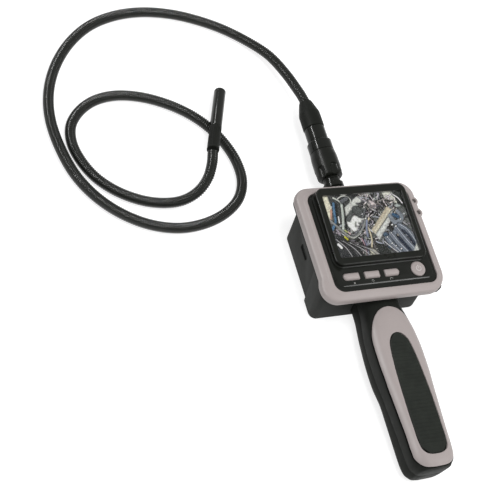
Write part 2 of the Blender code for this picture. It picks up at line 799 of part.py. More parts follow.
def smooth_route(points, count):
    """Evenly spaced points on a centripetal curve through the route."""
    p = [Vector(q) for q in points]
    p = [p[0] * 2 - p[1]] + p + [p[-1] * 2 - p[-2]]
    fine = []
    for i in range(1, len(p) - 2):
        a, b, c, d = p[i - 1], p[i], p[i + 1], p[i + 2]
        t1 = (b - a).length ** 0.5
        t2 = t1 + (c - b).length ** 0.5
        t3 = t2 + (d - c).length ** 0.5
        for k in range(20):
            t = t1 + (t2 - t1) * k / 20
            a1 = a * ((t1 - t) / t1) + b * (t / t1)
            a2 = b * ((t2 - t) / (t2 - t1)) + c * ((t - t1) / (t2 - t1))
            a3 = c * ((t3 - t) / (t3 - t2)) + d * ((t - t2) / (t3 - t2))
            b1 = a1 * ((t2 - t) / t2) + a2 * (t / t2)
            b2 = a2 * ((t3 - t) / (t3 - t1)) + a3 * ((t - t1) / (t3 - t1))
            fine.append(b1 * ((t2 - t) / (t2 - t1)) + b2 * ((t - t1) / (t2 - t1)))
    fine.append(p[-2])
    xyz = np.array([tuple(v) for v in fine])
    s = np.concatenate([[0.0], np.cumsum(np.linalg.norm(np.diff(xyz, axis=0), axis=1))])
    wanted = np.linspace(0.0, s[-1], count)
    return np.stack([np.interp(wanted, s, xyz[:, k]) for k in range(3)], axis=1)


def make_tube(mats):
    curve = bpy.data.curves.new("gooseneck_tube", "CURVE")
    curve.dimensions = "3D"
    curve.bevel_depth = TUBE_R * MM
    curve.bevel_resolution = 2
    curve.use_fill_caps = True
    path = smooth_route(ROUTE, TUBE_POINTS)
    spline = curve.splines.new("POLY")
    spline.points.add(len(path) - 1)
    for point, (x, y, z) in zip(spline.points, path):
        point.co = (x * MM, y * MM, z * MM, 1.0)
    curve.materials.append(mats["tube"])
    obj = bpy.data.objects.new("gooseneck_tube", curve)
    bpy.context.scene.collection.objects.link(obj)


def make_camera_tip(mats):
    start, joint, end = Vector(TIP_START), Vector(TIP_JOINT), Vector(TIP_END)
    along = (end - start).normalized()
    neck = (joint - start).length
    length = (end - start).length
    ferrule = [(0.6, 4.5), (1.2, TIP_R), (neck - 0.2, TIP_R)]
    loft("camera_ferrule", turned(ferrule, start, along, 20), mats["black_plastic"])
    head = [
        (neck + 0.1, TIP_R - 0.3),
        (neck + 0.6, TIP_R),
        (length - 0.6, TIP_R),
        (length, TIP_R - 0.5),
        (length, 3.9),
        (length - 2.2, 3.9),
        (length - 2.2, 1.0),
        (neck + 0.1, 1.0),
    ]
    loft("camera_head", turned(head, start, along, 24), mats["gloss_black"], closed=True)
    lens = [(length - 1.9, 1.6), (length - 0.9, 1.6), (length - 0.6, 1.0)]
    loft("camera_lens", turned(lens, start, along, 16), mats["clear"])
    side = Vector((0, 0, 1)).cross(along).normalized()
    other = along.cross(side)
    leds = []
    for i in range(4):
        a = math.pi / 4 + i * math.pi / 2
        origin = start + (side * math.cos(a) + other * math.sin(a)) * 2.8
        leds.append(turned([(length - 1.9, 0.7), (length - 1.1, 0.7)], origin, along, 8))
    copies("camera_led", leds, mats["led"])


def main():
    clear_scene()
    mats = {
        "light_plastic": material("light_plastic", (0.40, 0.34, 0.33), 0.45),
        "black_plastic": material("black_plastic", (0.018, 0.021, 0.020), 0.5),
        "grey_plastic": material("grey_plastic", (0.045, 0.048, 0.045), 0.55),
        "gloss_black": material("gloss_black", (0.010, 0.010, 0.010), 0.2),
        "rubber": material("rubber", (0.014, 0.017, 0.016), 0.7),
        "tube": material("tube", (0.014, 0.014, 0.014), 0.35),
        "clear": material("clear", (0.6, 0.62, 0.62), 0.05),
        "lcd": material("lcd", (0.15, 0.16, 0.17), 0.3),
        "white_plastic": material("white_plastic", (0.7, 0.7, 0.7), 0.5),
        "board": material("board", (0.02, 0.16, 0.06), 0.5),
        "chip": material("chip", (0.02, 0.02, 0.02), 0.4),
        "nickel": material("nickel", (0.6, 0.6, 0.58), 0.3, 1.0),
        "cell": material("cell", (0.08, 0.08, 0.09), 0.35),
        "led": material("led", (0.9, 0.9, 0.8), 0.3),
    }
    make_handle(mats)
    make_batteries(mats)
    make_case(mats)
    make_middle(mats)
    make_bezel(mats)
    make_display(mats)
    make_controls(mats)
    make_connector(mats)
    make_tube(mats)
    make_camera_tip(mats)
    copies("case_screw", screw_rings(0.0, 0.4, 8.0), mats["nickel"])


main()
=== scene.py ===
"""Looks of the hand-held inspection camera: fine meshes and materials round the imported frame.

Lengths here are millimetres in the row frame, and add_mesh turns them into metres. +Y runs up the
handle towards the gooseneck, +X to the right of the screen, +Z out of the screen.
"""

import json
import math

import bmesh
import bpy
import numpy as np
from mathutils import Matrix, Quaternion, Vector
from mathutils.bvhtree import BVHTree


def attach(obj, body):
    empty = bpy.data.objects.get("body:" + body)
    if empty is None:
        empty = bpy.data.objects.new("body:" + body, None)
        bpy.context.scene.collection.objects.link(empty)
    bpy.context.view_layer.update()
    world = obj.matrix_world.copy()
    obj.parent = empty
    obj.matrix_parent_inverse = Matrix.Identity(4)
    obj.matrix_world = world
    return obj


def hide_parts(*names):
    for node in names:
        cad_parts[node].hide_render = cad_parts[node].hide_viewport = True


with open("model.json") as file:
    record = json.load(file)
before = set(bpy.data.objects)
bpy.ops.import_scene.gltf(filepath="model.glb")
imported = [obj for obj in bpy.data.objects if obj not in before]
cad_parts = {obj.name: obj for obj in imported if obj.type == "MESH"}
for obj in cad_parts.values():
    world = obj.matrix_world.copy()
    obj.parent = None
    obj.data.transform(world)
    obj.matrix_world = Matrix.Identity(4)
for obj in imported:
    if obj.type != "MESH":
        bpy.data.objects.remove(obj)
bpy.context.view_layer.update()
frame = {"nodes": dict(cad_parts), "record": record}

MM = 0.001
GAP = 0.3  # clearance between neighbouring pieces
FAR = 200.0  # cutters reach this far past the part
UP = (0, 0, 1)

# Camera
CAMERA_AT = (-459.0, -317.1, 746.4)
CAMERA_AIM = (-95.5, 36.3, 20.0)
CAMERA_ROLL = 34.92  # degrees, anticlockwise
CAMERA_LENS = 86.83
SENSOR = 36.0

# Head
HEAD_Y = 17.0
TRIM_HALF_W = 53.1
TRIM_RIGHT_LESS = 0.7  # the right edge stands this much nearer the middle than the left
TRIM_FOOT_HALF_W = 54.7
TRIM_HALF_H = 48.9
TRIM_BOTTOM_Z = 38.3
TRIM_TOP_Z = 46.4
PANEL_HALF_W = 45.0
PANEL_HALF_H = 42.0
PANEL_LOW_Z = 43.5
PANEL_TOP_Z = 46.1
FRAME_HALF_W = 40.0
FRAME_Y = (-5.3, 59.8)
FRAME_TOP_Z = 50.6
FRAME_RISE = 0.04
SCREEN_SIZE = (70.1, 52.6)
SCREEN_Y = 27.1
BOX_HALF_W = 47.1
BOX_DRAFT = 0.04
BOX_LEAN = 0.216
BOX_Y = (-25.7, 47.8)
BOX_TOP_Z = 33.7
BOX_RIGHT_LESS = 1.6
BOX_CORNER = 6.0
BOX_WALL = 2.2
FOOT_EXTRA = 1.9
SEAM_Y = -9.5
SEAM_LEAN = 0.33
BOSSES = ((48.4, 46.2), (48.8, 35.6))
BOSS_R = 3.7
BOSS_TOP_Z = 46.0
BOSS_SIDE_X = 45.5  # the bosses are cut flat on the side towards the screen
BOSS_HOLE_R = 1.9
BOSS_SIDES = 64

# Handle
HANDLE_SPLIT_Z = 17.0
HANDLE_MID_Y = -89.0
HANDLE_HALF_L = 74.0
TRIM_POCKET = 1.9
# y, half width, bottom, top, bottom corner radius, top corner radius
HANDLE_STATIONS = (
    (-162.6, 9.5, 4.2, 27.8, 5.0, 6.5),
    (-161.8, 12.6, 2.8, 30.2, 6.5, 8.0),
    (-160.0, 14.4, 1.8, 31.8, 7.0, 9.5),
    (-157.4, 16.4, 1.3, 32.9, 7.5, 10.0),
    (-153.5, 17.4, 1.2, 33.6, 7.5, 10.0),
    (-147.0, 17.8, 1.2, 33.9, 7.5, 9.5),
    (-133.0, 18.1, 1.2, 34.0, 8.5, 9.0),
    (-118.0, 18.8, 1.2, 34.0, 10.5, 8.5),
    (-104.0, 19.4, 1.0, 34.0, 12.3, 8.0),
    (-97.0, 19.9, 0.6, 34.0, 12.2, 8.0),
    (-90.0, 20.5, 0.2, 34.0, 12.2, 8.0),
    (-80.0, 20.7, 0.0, 34.0, 12.6, 8.0),
    (-69.0, 20.7, 0.0, 34.0, 13.5, 8.0),
    (-59.0, 19.9, 0.3, 34.0, 13.0, 8.0),
    (-52.0, 19.0, 0.8, 33.9, 11.5, 8.0),
    (-43.0, 17.2, 1.0, 33.6, 9.5, 8.0),
    (-35.0, 15.7, 1.0, 33.1, 8.2, 8.0),
    (-15.0, 15.3, 1.0, 32.8, 8.0, 8.0),
)
OVAL_HALF = (
    (0.0, -35.3),
    (6.5, -36.8),
    (11.0, -40.0),
    (14.5, -44.5),
    (17.0, -50.0),
    (18.9, -57.0),
    (19.8, -66.0),
    (20.0, -78.0),
    (19.6, -92.0),
    (18.8, -106.0),
    (18.1, -120.0),
    (17.4, -134.0),
    (17.1, -147.0),
    (16.4, -153.0),
    (13.8, -157.6),
    (9.8, -160.2),
    (4.5, -161.2),
    (0.0, -161.4),
)
INSERT_HALF = (
    (0.0, -57.2),
    (4.5, -58.8),
    (7.9, -63.4),
    (9.6, -71.0),
    (10.9, -84.5),
    (11.7, -100.0),
    (12.1, -116.0),
    (12.1, -131.0),
    (11.8, -143.0),
    (10.5, -148.2),
    (7.5, -151.2),
    (3.0, -152.5),
    (0.0, -152.6),
)
RIB_PITCH = 2.9
RIB_DEPTH = 0.55
DOOR_HALF_W = 12.0
DOOR_TOP_Z = 5.5
DOOR_END_Y = -48.0

# Controls
PILL_Y = -13.3
PILL_HALF_H = 3.0
PILLS = {"button_menu": (-36.2, -22.3), "button_up": (-17.9, -4.7), "button_down": (-0.4, 12.6)}
POWER_XY = (29.7, -12.8)
POWER_R = 6.15
# inset from the outline, height
PILL_CROWN = ((0.0, 45.6), (0.1, 46.1), (0.4, 46.75), (0.85, 47.25), (1.4, 47.65), (2.1, 47.92), (2.8, 48.0))
ICON_Y = -18.9

# Gooseneck
NECK_Z = 16.5
GRIP_COUNT = 6
GRIP_R = 4.2
GRIP_AXIS_R = 13.2
TUBE_R = 4.25
TUBE_PITCH = 1.85
TUBE_GROOVE = 0.6
TUBE_SIDES = 20
TIP_R = 4.9
TIP_START = (-97.1, 118.3, 19.8)
TIP_JOINT = (-86.6, 141.95, 14.64)
TIP_END = (-68.4, 182.9, 5.7)
ROUTE = (
    (0.0, 162.4, 16.5),
    (-0.9, 169.0, 16.1),
    (-2.6, 177.0, 15.2),
    (-6.5, 195.0, 12.3),
    (-14.5, 217.0, 8.4),
    (-28.5, 234.0, 5.4),
    (-47.5, 248.0, 4.4),
    (-68.0, 257.5, 4.3),
    (-90.0, 264.0, 4.3),
    (-116.0, 266.5, 4.3),
    (-141.0, 263.0, 4.3),
    (-165.0, 253.0, 4.3),
    (-186.0, 235.5, 4.3),
    (-202.5, 212.5, 4.3),
    (-212.5, 188.0, 4.3),
    (-216.0, 164.0, 4.3),
    (-213.5, 137.0, 4.3),
    (-206.5, 112.5, 4.3),
    (-194.0, 92.0, 4.3),
    (-177.0, 76.0, 4.3),
    (-156.5, 65.0, 4.3),
    (-134.5, 60.5, 4.3),
    (-112.5, 63.0, 4.3),
    (-93.0, 71.0, 4.3),
    (-79.0, 83.0, 4.3),
    (-72.0, 98.5, 4.3),
    (-72.0, 116.5, 4.3),
    (-77.5, 134.0, 4.3),
    (-86.5, 149.0, 4.3),
    (-99.0, 162.0, 4.3),
    (-116.0, 173.0, 4.3),
    (-137.0, 181.0, 4.3),
    (-158.5, 183.5, 4.3),
    (-177.0, 179.5, 4.3),
    (-191.5, 170.0, 4.3),
    (-201.0, 157.0, 4.3),
    (-203.5, 141.5, 4.3),
    (-199.5, 124.5, 4.3),
    (-190.0, 108.0, 4.3),
    (-173.0, 93.5, 4.3),
    (-151.0, 84.4, 4.5),
    (-130.0, 82.3, 7.2),
    (-116.3, 86.4, 12.2),
    (-107.2, 94.7, 17.4),
    (-101.4, 106.0, 20.3),
    (-97.5, 116.9, 20.0),
)


# ---------------------------------------------------------------- materials


class Nodes:
    """A material's node tree, with short calls for the few node kinds used here."""

    def __init__(self, name):
        self.mat = bpy.data.materials.new(name)
        self.mat.use_nodes = True
        self.tree = self.mat.node_tree
        self.shader = self.tree.nodes["Principled BSDF"]
        self.where = self.tree.nodes.new("ShaderNodeTexCoord").outputs["Object"]

    def add(self, kind, **values):
        node = self.tree.nodes.new(kind)
        for key, value in values.items():
            setattr(node, key, value)
        return node

    def link(self, a, b):
        self.tree.links.new(a, b)

    def noise(self, size_mm, detail=4.0, rough=0.55, stretch=None):
        node = self.add("ShaderNodeTexNoise")
        node.inputs["Scale"].default_value = 1000.0 / size_mm
        node.inputs["Detail"].default_value = detail
        node.inputs["Roughness"].default_value = rough
        source = self.where
        if stretch:
            mapping = self.add("ShaderNodeMapping")
            mapping.inputs["Scale"].default_value = stretch
            self.link(self.where, mapping.inputs["Vector"])
            source = mapping.outputs["Vector"]
        self.link(source, node.inputs["Vector"])
        return node.outputs["Fac"]

    def ramp(self, factor, stops):
        node = self.add("ShaderNodeValToRGB")
        elements = node.color_ramp.elements
        while len(elements) < len(stops):
            elements.new(0.5)
        for element, (position, value) in zip(elements, stops):
            element.position = position
            element.color = (*value, 1.0) if isinstance(value, tuple) else (value, value, value, 1.0)
        self.link(factor, node.inputs["Fac"])
        return node.outputs["Color"]

    def math(self, operation, a, b):
        node = self.add("ShaderNodeMath", operation=operation)
        for socket, value in zip(node.inputs, (a, b)):
            if isinstance(value, (int, float)):
                socket.default_value = value
            else:
                self.link(value, socket)
        return node.outputs["Value"]

    def mix(self, factor, a, b):
        node = self.add("ShaderNodeMix", data_type="RGBA")
        self.link(factor, node.inputs["Factor"])
        for socket, value in ((node.inputs[6], a), (node.inputs[7], b)):
            if isinstance(value, tuple):
                socket.default_value = (*value, 1.0)
            else:
                self.link(value, socket)
        return node.outputs[2]

    def bump(self, height, depth_mm, strength=1.0, below=None):
        node = self.add("ShaderNodeBump")
        node.inputs["Strength"].default_value = strength
        node.inputs["Distance"].default_value = depth_mm * MM
        self.link(height, node.inputs["Height"])
        if below:
            self.link(below, node.inputs["Normal"])
        return node.outputs["Normal"]


def scaled(rgb, k):
    return tuple(min(c * k, 1.0) for c in rgb)


def plastic(
    name, rgb, rough, grain_mm=0.45, grain_depth=0.02, mottle=0.10, coat=0.0, specular=0.5, wave=0.05
):
    """Moulded plastic: an eroded grain, faint flow clouds, handling marks in the gloss."""
    n = Nodes(name)
    clouds = n.noise(26.0, 3.0)
    specks = n.noise(1.1, 2.0)
    wear = n.noise(7.0, 6.0, 0.65)
    tint = n.ramp(clouds, [(0.3, scaled(rgb, 1 - mottle)), (0.7, scaled(rgb, 1 + mottle))])
    fleck = n.ramp(specks, [(0.62, 0.0), (0.78, 0.35)])
    colour = n.mix(fleck, tint, scaled(rgb, 1.18))
    n.link(colour, n.shader.inputs["Base Color"])
    gloss = n.math("MULTIPLY_ADD", wear, 0.22)
    gloss.node.inputs[2].default_value = rough - 0.11
    n.link(gloss, n.shader.inputs["Roughness"])
    grain = n.noise(grain_mm, 3.0, 0.6)
    soft = n.noise(14.0, 2.0)
    normal = n.bump(soft, wave, 0.6)
    n.link(n.bump(grain, grain_depth, 0.8, normal), n.shader.inputs["Normal"])
    n.shader.inputs["Specular IOR Level"].default_value = specular
    n.shader.inputs["Coat Weight"].default_value = coat
    n.shader.inputs["Coat Roughness"].default_value = 0.12
    return n.mat


def rubber(name, rgb, rough=0.72):
    n = Nodes(name)
    dust = n.ramp(n.noise(9.0, 6.0, 0.7), [(0.42, rgb), (0.8, scaled(rgb, 1.6))])
    n.link(dust, n.shader.inputs["Base Color"])
    matt = n.math("MULTIPLY_ADD", n.noise(4.0, 4.0), 0.2)
    matt.node.inputs[2].default_value = rough - 0.1
    n.link(matt, n.shader.inputs["Roughness"])
    n.link(n.bump(n.noise(0.6, 4.0, 0.7), 0.05, 0.7), n.shader.inputs["Normal"])
    n.shader.inputs["Specular IOR Level"].default_value = 0.25
    return n.mat


def metal(name, rgb, rough):
    n = Nodes(name)
    streaks = n.noise(3.0, 5.0, 0.6, (1.0, 0.08, 1.0))
    n.link(n.ramp(streaks, [(0.3, scaled(rgb, 0.86)), (0.7, rgb)]), n.shader.inputs["Base Color"])
    gloss = n.math("MULTIPLY_ADD", n.noise(1.2, 4.0), 0.2)
    gloss.node.inputs[2].default_value = rough - 0.1
    n.link(gloss, n.shader.inputs["Roughness"])
    n.link(n.bump(streaks, 0.01, 0.5), n.shader.inputs["Normal"])
    n.shader.inputs["Metallic"].default_value = 1.0
    return n.mat


def clear_cover(name):
    """A thin clear window: nearly all light passes, with fine wipe marks in its gloss."""
    n = Nodes(name)
    marks = n.ramp(n.noise(5.0, 6.0, 0.7, (1.0, 0.15, 1.0)), [(0.45, 0.03), (0.75, 0.14)])
    n.link(marks, n.shader.inputs["Roughness"])
    n.shader.inputs["Base Color"].default_value = (1.0, 1.0, 1.0, 1.0)
    n.shader.inputs["Transmission Weight"].default_value = 1.0
    n.shader.inputs["IOR"].default_value = 1.12
    return n.mat


def printed(name, rgb):
    n = Nodes(name)
    n.link(n.ramp(n.noise(0.8, 3.0), [(0.3, scaled(rgb, 0.85)), (0.7, rgb)]), n.shader.inputs["Base Color"])
    n.link(n.ramp(n.noise(1.5, 3.0), [(0.3, 0.35), (0.7, 0.5)]), n.shader.inputs["Roughness"])
    n.link(n.bump(n.noise(0.3, 2.0), 0.01, 0.5), n.shader.inputs["Normal"])
    return n.mat


def board_resin(name, rgb):
    n = Nodes(name)
    lanes = n.noise(2.4, 1.0, 0.3, (1.0, 0.12, 1.0))
    n.link(n.ramp(lanes, [(0.48, rgb), (0.52, scaled(rgb, 1.9))]), n.shader.inputs["Base Color"])
    n.link(n.ramp(n.noise(2.0, 3.0), [(0.3, 0.3), (0.7, 0.45)]), n.shader.inputs["Roughness"])
    n.link(n.bump(lanes, 0.03, 0.6), n.shader.inputs["Normal"])
    return n.mat


def display(name):
    """The lit picture: its colours are in the mesh, broken up by the display's fine cells."""
    n = Nodes(name)
    picture = n.add("ShaderNodeVertexColor", layer_name="Picture").outputs["Color"]
    cells = n.ramp(n.noise(0.25, 1.0), [(0.3, 0.86), (0.7, 1.0)])
    mixed = n.add("ShaderNodeMix", data_type="RGBA", blend_type="MULTIPLY")
    mixed.inputs["Factor"].default_value = 1.0
    n.link(picture, mixed.inputs[6])
    n.link(cells, mixed.inputs[7])
    n.link(mixed.outputs[2], n.shader.inputs["Emission Color"])
    n.shader.inputs["Emission Strength"].default_value = 0.8
    n.shader.inputs["Base Color"].default_value = (0.01, 0.01, 0.01, 1.0)
    n.shader.inputs["Specular IOR Level"].default_value = 0.1
    n.link(n.ramp(n.noise(6.0), [(0.3, 0.25), (0.7, 0.4)]), n.shader.inputs["Roughness"])
    return n.mat


MATS = {
    "light": plastic("light_plastic", (0.271, 0.238, 0.231), 0.46, mottle=0.03, grain_depth=0.012),
    "black": plastic("black_plastic", (0.0105, 0.0115, 0.0098), 0.52, mottle=0.12, specular=0.07),
    "grey": plastic("grey_plastic", (0.0330, 0.0343, 0.0322), 0.60, mottle=0.10, specular=0.08),
    "gloss": plastic("gloss_black", (0.0080, 0.0088, 0.0072), 0.15, 0.8, 0.001, specular=0.20, wave=0.01),
    "satin": plastic("satin_black", (0.0080, 0.0088, 0.0070), 0.30, 0.4, 0.004, specular=0.16, wave=0.01),
    "rubber": rubber("rubber", (0.0090, 0.0110, 0.0085)),
    "tube": plastic("gooseneck_sheath", (0.0085, 0.0094, 0.0076), 0.22, 0.5, 0.006, specular=0.30),
    "clear": clear_cover("clear_window"),
    "display": display("display_picture"),
    "white": printed("icon_white", (0.50, 0.47, 0.46)),
    "dim": printed("icon_grey", (0.22, 0.22, 0.21)),
    "diffuser": plastic("white_diffuser", (0.66, 0.66, 0.66), 0.45),
    "board": board_resin("circuit_board", (0.016, 0.13, 0.05)),
    "chip": plastic("chip_resin", (0.018, 0.018, 0.018), 0.4, 0.2),
    "nickel": metal("nickel", (0.55, 0.55, 0.53), 0.32),
    "cell": plastic("cell_jacket", (0.07, 0.07, 0.075), 0.3, 1.0, 0.005, 0.1, coat=0.3),
    "led": printed("led_resin", (0.8, 0.8, 0.68)),
}
SLOT_LOOK = {
    "light_plastic": "light",
    "black_plastic": "black",
    "grey_plastic": "grey",
    "gloss_black": "gloss",
    "rubber": "rubber",
    "gooseneck_sheath": "tube",
    "clear_glass": "clear",
    "lcd_glass": "gloss",
    "white_plastic": "diffuser",
    "circuit_board": "board",
    "chip_resin": "chip",
    "nickel": "nickel",
    "cell_jacket": "cell",
    "led_resin": "led",
}


# ---------------------------------------------------------------- mesh tools


def add_mesh(name, verts, faces, mat=None, sharp=32):
    """A mesh object from millimetre points, faces turned outwards; without a material, a cutter."""
    mesh = bpy.data.meshes.new(name)
    mesh.from_pydata([tuple(c * MM for c in v) for v in verts], [], faces)
    bm = bmesh.new()
    bm.from_mesh(mesh)
    bmesh.ops.recalc_face_normals(bm, faces=bm.faces)
    bm.to_mesh(mesh)
    bm.free()
    obj = bpy.data.objects.new(name, mesh)
    bpy.context.scene.collection.objects.link(obj)
    if mat is None:
        obj.hide_render = True
    else:
        mesh.materials.append(MATS[mat])
        smooth(obj, sharp)
    return obj


def smooth(obj, sharp=32):
    obj.data.shade_smooth()
    obj.data.set_sharp_from_angle(angle=math.radians(sharp))


def applied(obj, sharp=32):
    """Turns the object's modifiers into its own mesh."""
    graph = bpy.context.evaluated_depsgraph_get()
    mesh = bpy.data.meshes.new_from_object(obj.evaluated_get(graph))
    old = obj.data
    obj.modifiers.clear()
    obj.data = mesh
    bpy.data.meshes.remove(old)
    smooth(obj, sharp)
    return obj


def carve(obj, cutter, operation="DIFFERENCE", keep=False):
    modifier = obj.modifiers.new("Cut", "BOOLEAN")
    modifier.operation = operation
    modifier.object = cutter
    modifier.solver = "EXACT"
    applied(obj)
    if not keep:
        bpy.data.objects.remove(cutter, do_unlink=True)
    return obj


def soften(obj, width, segments=2, angle=38):
    """Rounds the sharp edges, which then catch the light as a moulded edge does."""
    modifier = obj.modifiers.new("Round", "BEVEL")
    modifier.width = width * MM
    modifier.segments = segments
    modifier.limit_method = "ANGLE"
    modifier.angle_limit = math.radians(angle)
    modifier.use_clamp_overlap = True
    return applied(obj, 40)


def place(obj, body, *nodes, slot=None):
    """The piece rides on a body and, where nodes are given, stands for those CAD nodes."""
    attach(obj, body)
    if nodes:
        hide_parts(*nodes)
    return obj


def ring_faces(ring_count, points, closed):
    """Quads between rings of points; closed joins the last ring to the first, otherwise ends are capped."""
    faces = []
    last = ring_count if closed else ring_count - 1
    for i in range(last):
        a = i * points
        b = ((i + 1) % ring_count) * points
        for j in range(points):
            k = (j + 1) % points
            faces.append((a + j, a + k, b + k, b + j))
    if not closed:
        faces.append(tuple(range(points)))
        faces.append(tuple(range((ring_count - 1) * points, ring_count * points)))
    return faces


def grid_faces(rows, columns):
    """Quads of a sheet of rows x columns points."""
    faces = []
    for i in range(rows - 1):
        for j in range(columns - 1):
            a = i * columns + j
            faces.append((a, a + 1, a + columns + 1, a + columns))
    return faces


def grid_rim(rows, columns):
    """The sheet's border points, once round."""
    rim = list(range(columns))
    rim += [i * columns + columns - 1 for i in range(1, rows)]
    rim += [(rows - 1) * columns + j for j in range(columns - 2, -1, -1)]
    return rim + [i * columns for i in range(rows - 2, 0, -1)]


def close_below(verts, faces, rim, low):
    """Closes a sheet with a wall round its rim and one face below; low gives each lower point."""
    base, count = len(verts), len(rim)
    verts += [low(*verts[k]) for k in rim]
    for k in range(count):
        n = (k + 1) % count
        faces.append((rim[k], base + k, base + n, rim[n]))
    faces.append(tuple(base + k for k in range(count)))


def loft(name, rings, mat=None, closed=False, sharp=32):
    verts = [p for ring in rings for p in ring]
    return add_mesh(name, verts, ring_faces(len(rings), len(rings[0]), closed), mat, sharp)


def several(name, solids, mat=None, sharp=32):
    """Separate lofts in one object."""
    verts = []
    faces = []
    for rings in solids:
        base = len(verts)
        verts += [p for ring in rings for p in ring]
        for face in ring_faces(len(rings), len(rings[0]), False):
            faces.append(tuple(base + i for i in face))
    return add_mesh(name, verts, faces, mat, sharp)


def flat_ring(outline, z):
    return [(x, y, z) for x, y in outline]


def rounded(corners, steps=10):
    """A closed outline from (x, y, radius) corners, with the same number of points at each."""
    points = []
    count = len(corners)
    for i, (x, y, r) in enumerate(corners):
        here = Vector((x, y))
        before = (Vector(corners[i - 1][:2]) - here).normalized()
        after = (Vector(corners[(i + 1) % count][:2]) - here).normalized()
        half = before.angle(after) / 2
        if half > math.radians(89):
            points += [tuple(here + before * r * (1 - 2 * k / steps)) for k in range(steps + 1)]
            continue
        reach = r / math.tan(half)
        centre = here + (before + after).normalized() * (r / math.sin(half))
        start = here + before * reach - centre
        stop = here + after * reach - centre
        sweep = math.pi - 2 * half
        turn = 1 if start.x * stop.y - start.y * stop.x > 0 else -1
        for k in range(steps + 1):
            a = turn * sweep * k / steps
            c, s = math.cos(a), math.sin(a)
            points.append((centre.x + start.x * c - start.y * s, centre.y + start.x * s + start.y * c))
    return points


def rect(half_w, y0, y1, radius, x=0.0):
    return [
        (x - half_w, y0, radius),
        (x + half_w, y0, radius),
        (x + half_w, y1, radius),
        (x - half_w, y1, radius),
    ]


def block(x0, x1, y0, y1, z0, z1):
    outline = [(x0, y0), (x1, y0), (x1, y1), (x0, y1)]
    return [flat_ring(outline, z0), flat_ring(outline, z1)]


def eased(points, radius, steps=4):
    """An open profile with its inner corners rounded off; a point may carry its own radius."""
    result = [tuple(points[0][:2])]
    for i in range(1, len(points) - 1):
        a, b, c = Vector(points[i - 1][:2]), Vector(points[i][:2]), Vector(points[i + 1][:2])
        r = points[i][2] if len(points[i]) > 2 else radius
        ra = min(r, (a - b).length * 0.45)
        rc = min(r, (c - b).length * 0.45)
        start = b + (a - b).normalized() * ra
        stop = b + (c - b).normalized() * rc
        for k in range(steps + 1):
            t = k / steps
            result.append(tuple(start * (1 - t) ** 2 + b * 2 * t * (1 - t) + stop * t * t))
    result.append(tuple(points[-1][:2]))
    return result


def turned(profile, origin, direction, segments=64):
    along = Vector(direction).normalized()
    side = along.orthogonal().normalized()
    if abs(along.z) < 0.99:
        side = Vector(UP).cross(along).normalized()
    other = along.cross(side)
    rings = []
    for distance, radius in profile:
        centre = Vector(origin) + along * distance
        ring = []
        for i in range(segments):
            a = 2 * math.pi * i / segments
            ring.append(tuple(centre + (side * math.cos(a) + other * math.sin(a)) * radius))
        rings.append(ring)
    return rings


def on_neck(profile, segments=64):
    return turned(profile, (0.0, 0.0, NECK_Z), (0, 1, 0), segments)


def grown(outline, distance):
    result = []
    count = len(outline)
    area = sum(
        outline[i][0] * outline[(i + 1) % count][1] - outline[(i + 1) % count][0] * outline[i][1]
        for i in range(count)
    )
    side = 1 if area > 0 else -1
    for i in range(count):
        ax, ay = outline[i - 1]
        bx, by = outline[(i + 1) % count]
        length = math.hypot(bx - ax, by - ay)
        nx, ny = side * (by - ay) / length, -side * (bx - ax) / length
        result.append((outline[i][0] + nx * distance, outline[i][1] + ny * distance))
    return result


def between(a, b, t):
    return [(p[0] + (q[0] - p[0]) * t, p[1] + (q[1] - p[1]) * t) for p, q in zip(a, b)]


def catmull(points, per, closed=False):
    """Points on a smooth curve through the given ones, per to each span."""
    p = [np.array(q, float) for q in points]
    n = len(p)
    result = []
    for i in range(n if closed else n - 1):
        b, c = p[i], p[(i + 1) % n]
        a = p[i - 1] if closed or i > 0 else b * 2 - c
        d = p[(i + 2) % n] if closed or i + 2 < n else c * 2 - b
        t1 = np.linalg.norm(b - a) ** 0.5
        t2 = t1 + np.linalg.norm(c - b) ** 0.5
        t3 = t2 + np.linalg.norm(d - c) ** 0.5
        for k in range(per):
            t = t1 + (t2 - t1) * k / per
            a1 = a * ((t1 - t) / t1) + b * (t / t1)
            a2 = b * ((t2 - t) / (t2 - t1)) + c * ((t - t1) / (t2 - t1))
            a3 = c * ((t3 - t) / (t3 - t2)) + d * ((t - t2) / (t3 - t2))
            b1 = a1 * ((t2 - t) / t2) + a2 * (t / t2)
            b2 = a2 * ((t3 - t) / (t3 - t1)) + a3 * ((t - t1) / (t3 - t1))
            result.append(tuple(b1 * ((t2 - t) / (t2 - t1)) + b2 * ((t - t1) / (t2 - t1))))
    if not closed:
        result.append(tuple(p[-1]))
    return result


def smooth_outline(half, per=5):
    """A whole smooth outline from its right half."""
    whole = list(half) + [(-x, y) for x, y in reversed(half[1:-1])]
    return catmull(whole, per, closed=True)


# ---------------------------------------------------------------- handle


def dense_stations(stations, per=5):
    rows = [stations[0]]
    table = np.array(stations, float)
    for i in range(len(table) - 1):
        a = table[max(i - 1, 0)]
        b = table[i]
        c = table[i + 1]
        d = table[min(i + 2, len(table) - 1)]
        slope_b = (c - a) / max(c[0] - a[0], 1e-6)
        slope_c = (d - b) / max(d[0] - b[0], 1e-6)
        span = c[0] - b[0]
        for k in range(1, per + 1):
            t = k / per
            h00, h10 = 2 * t**3 - 3 * t**2 + 1, t**3 - 2 * t**2 + t
            h01, h11 = -2 * t**3 + 3 * t**2, t**3 - t**2
            row = h00 * b + h10 * span * slope_b + h01 * c + h11 * span * slope_c
            row[0] = b[0] + span * t
            rows.append(tuple(row))
    return rows


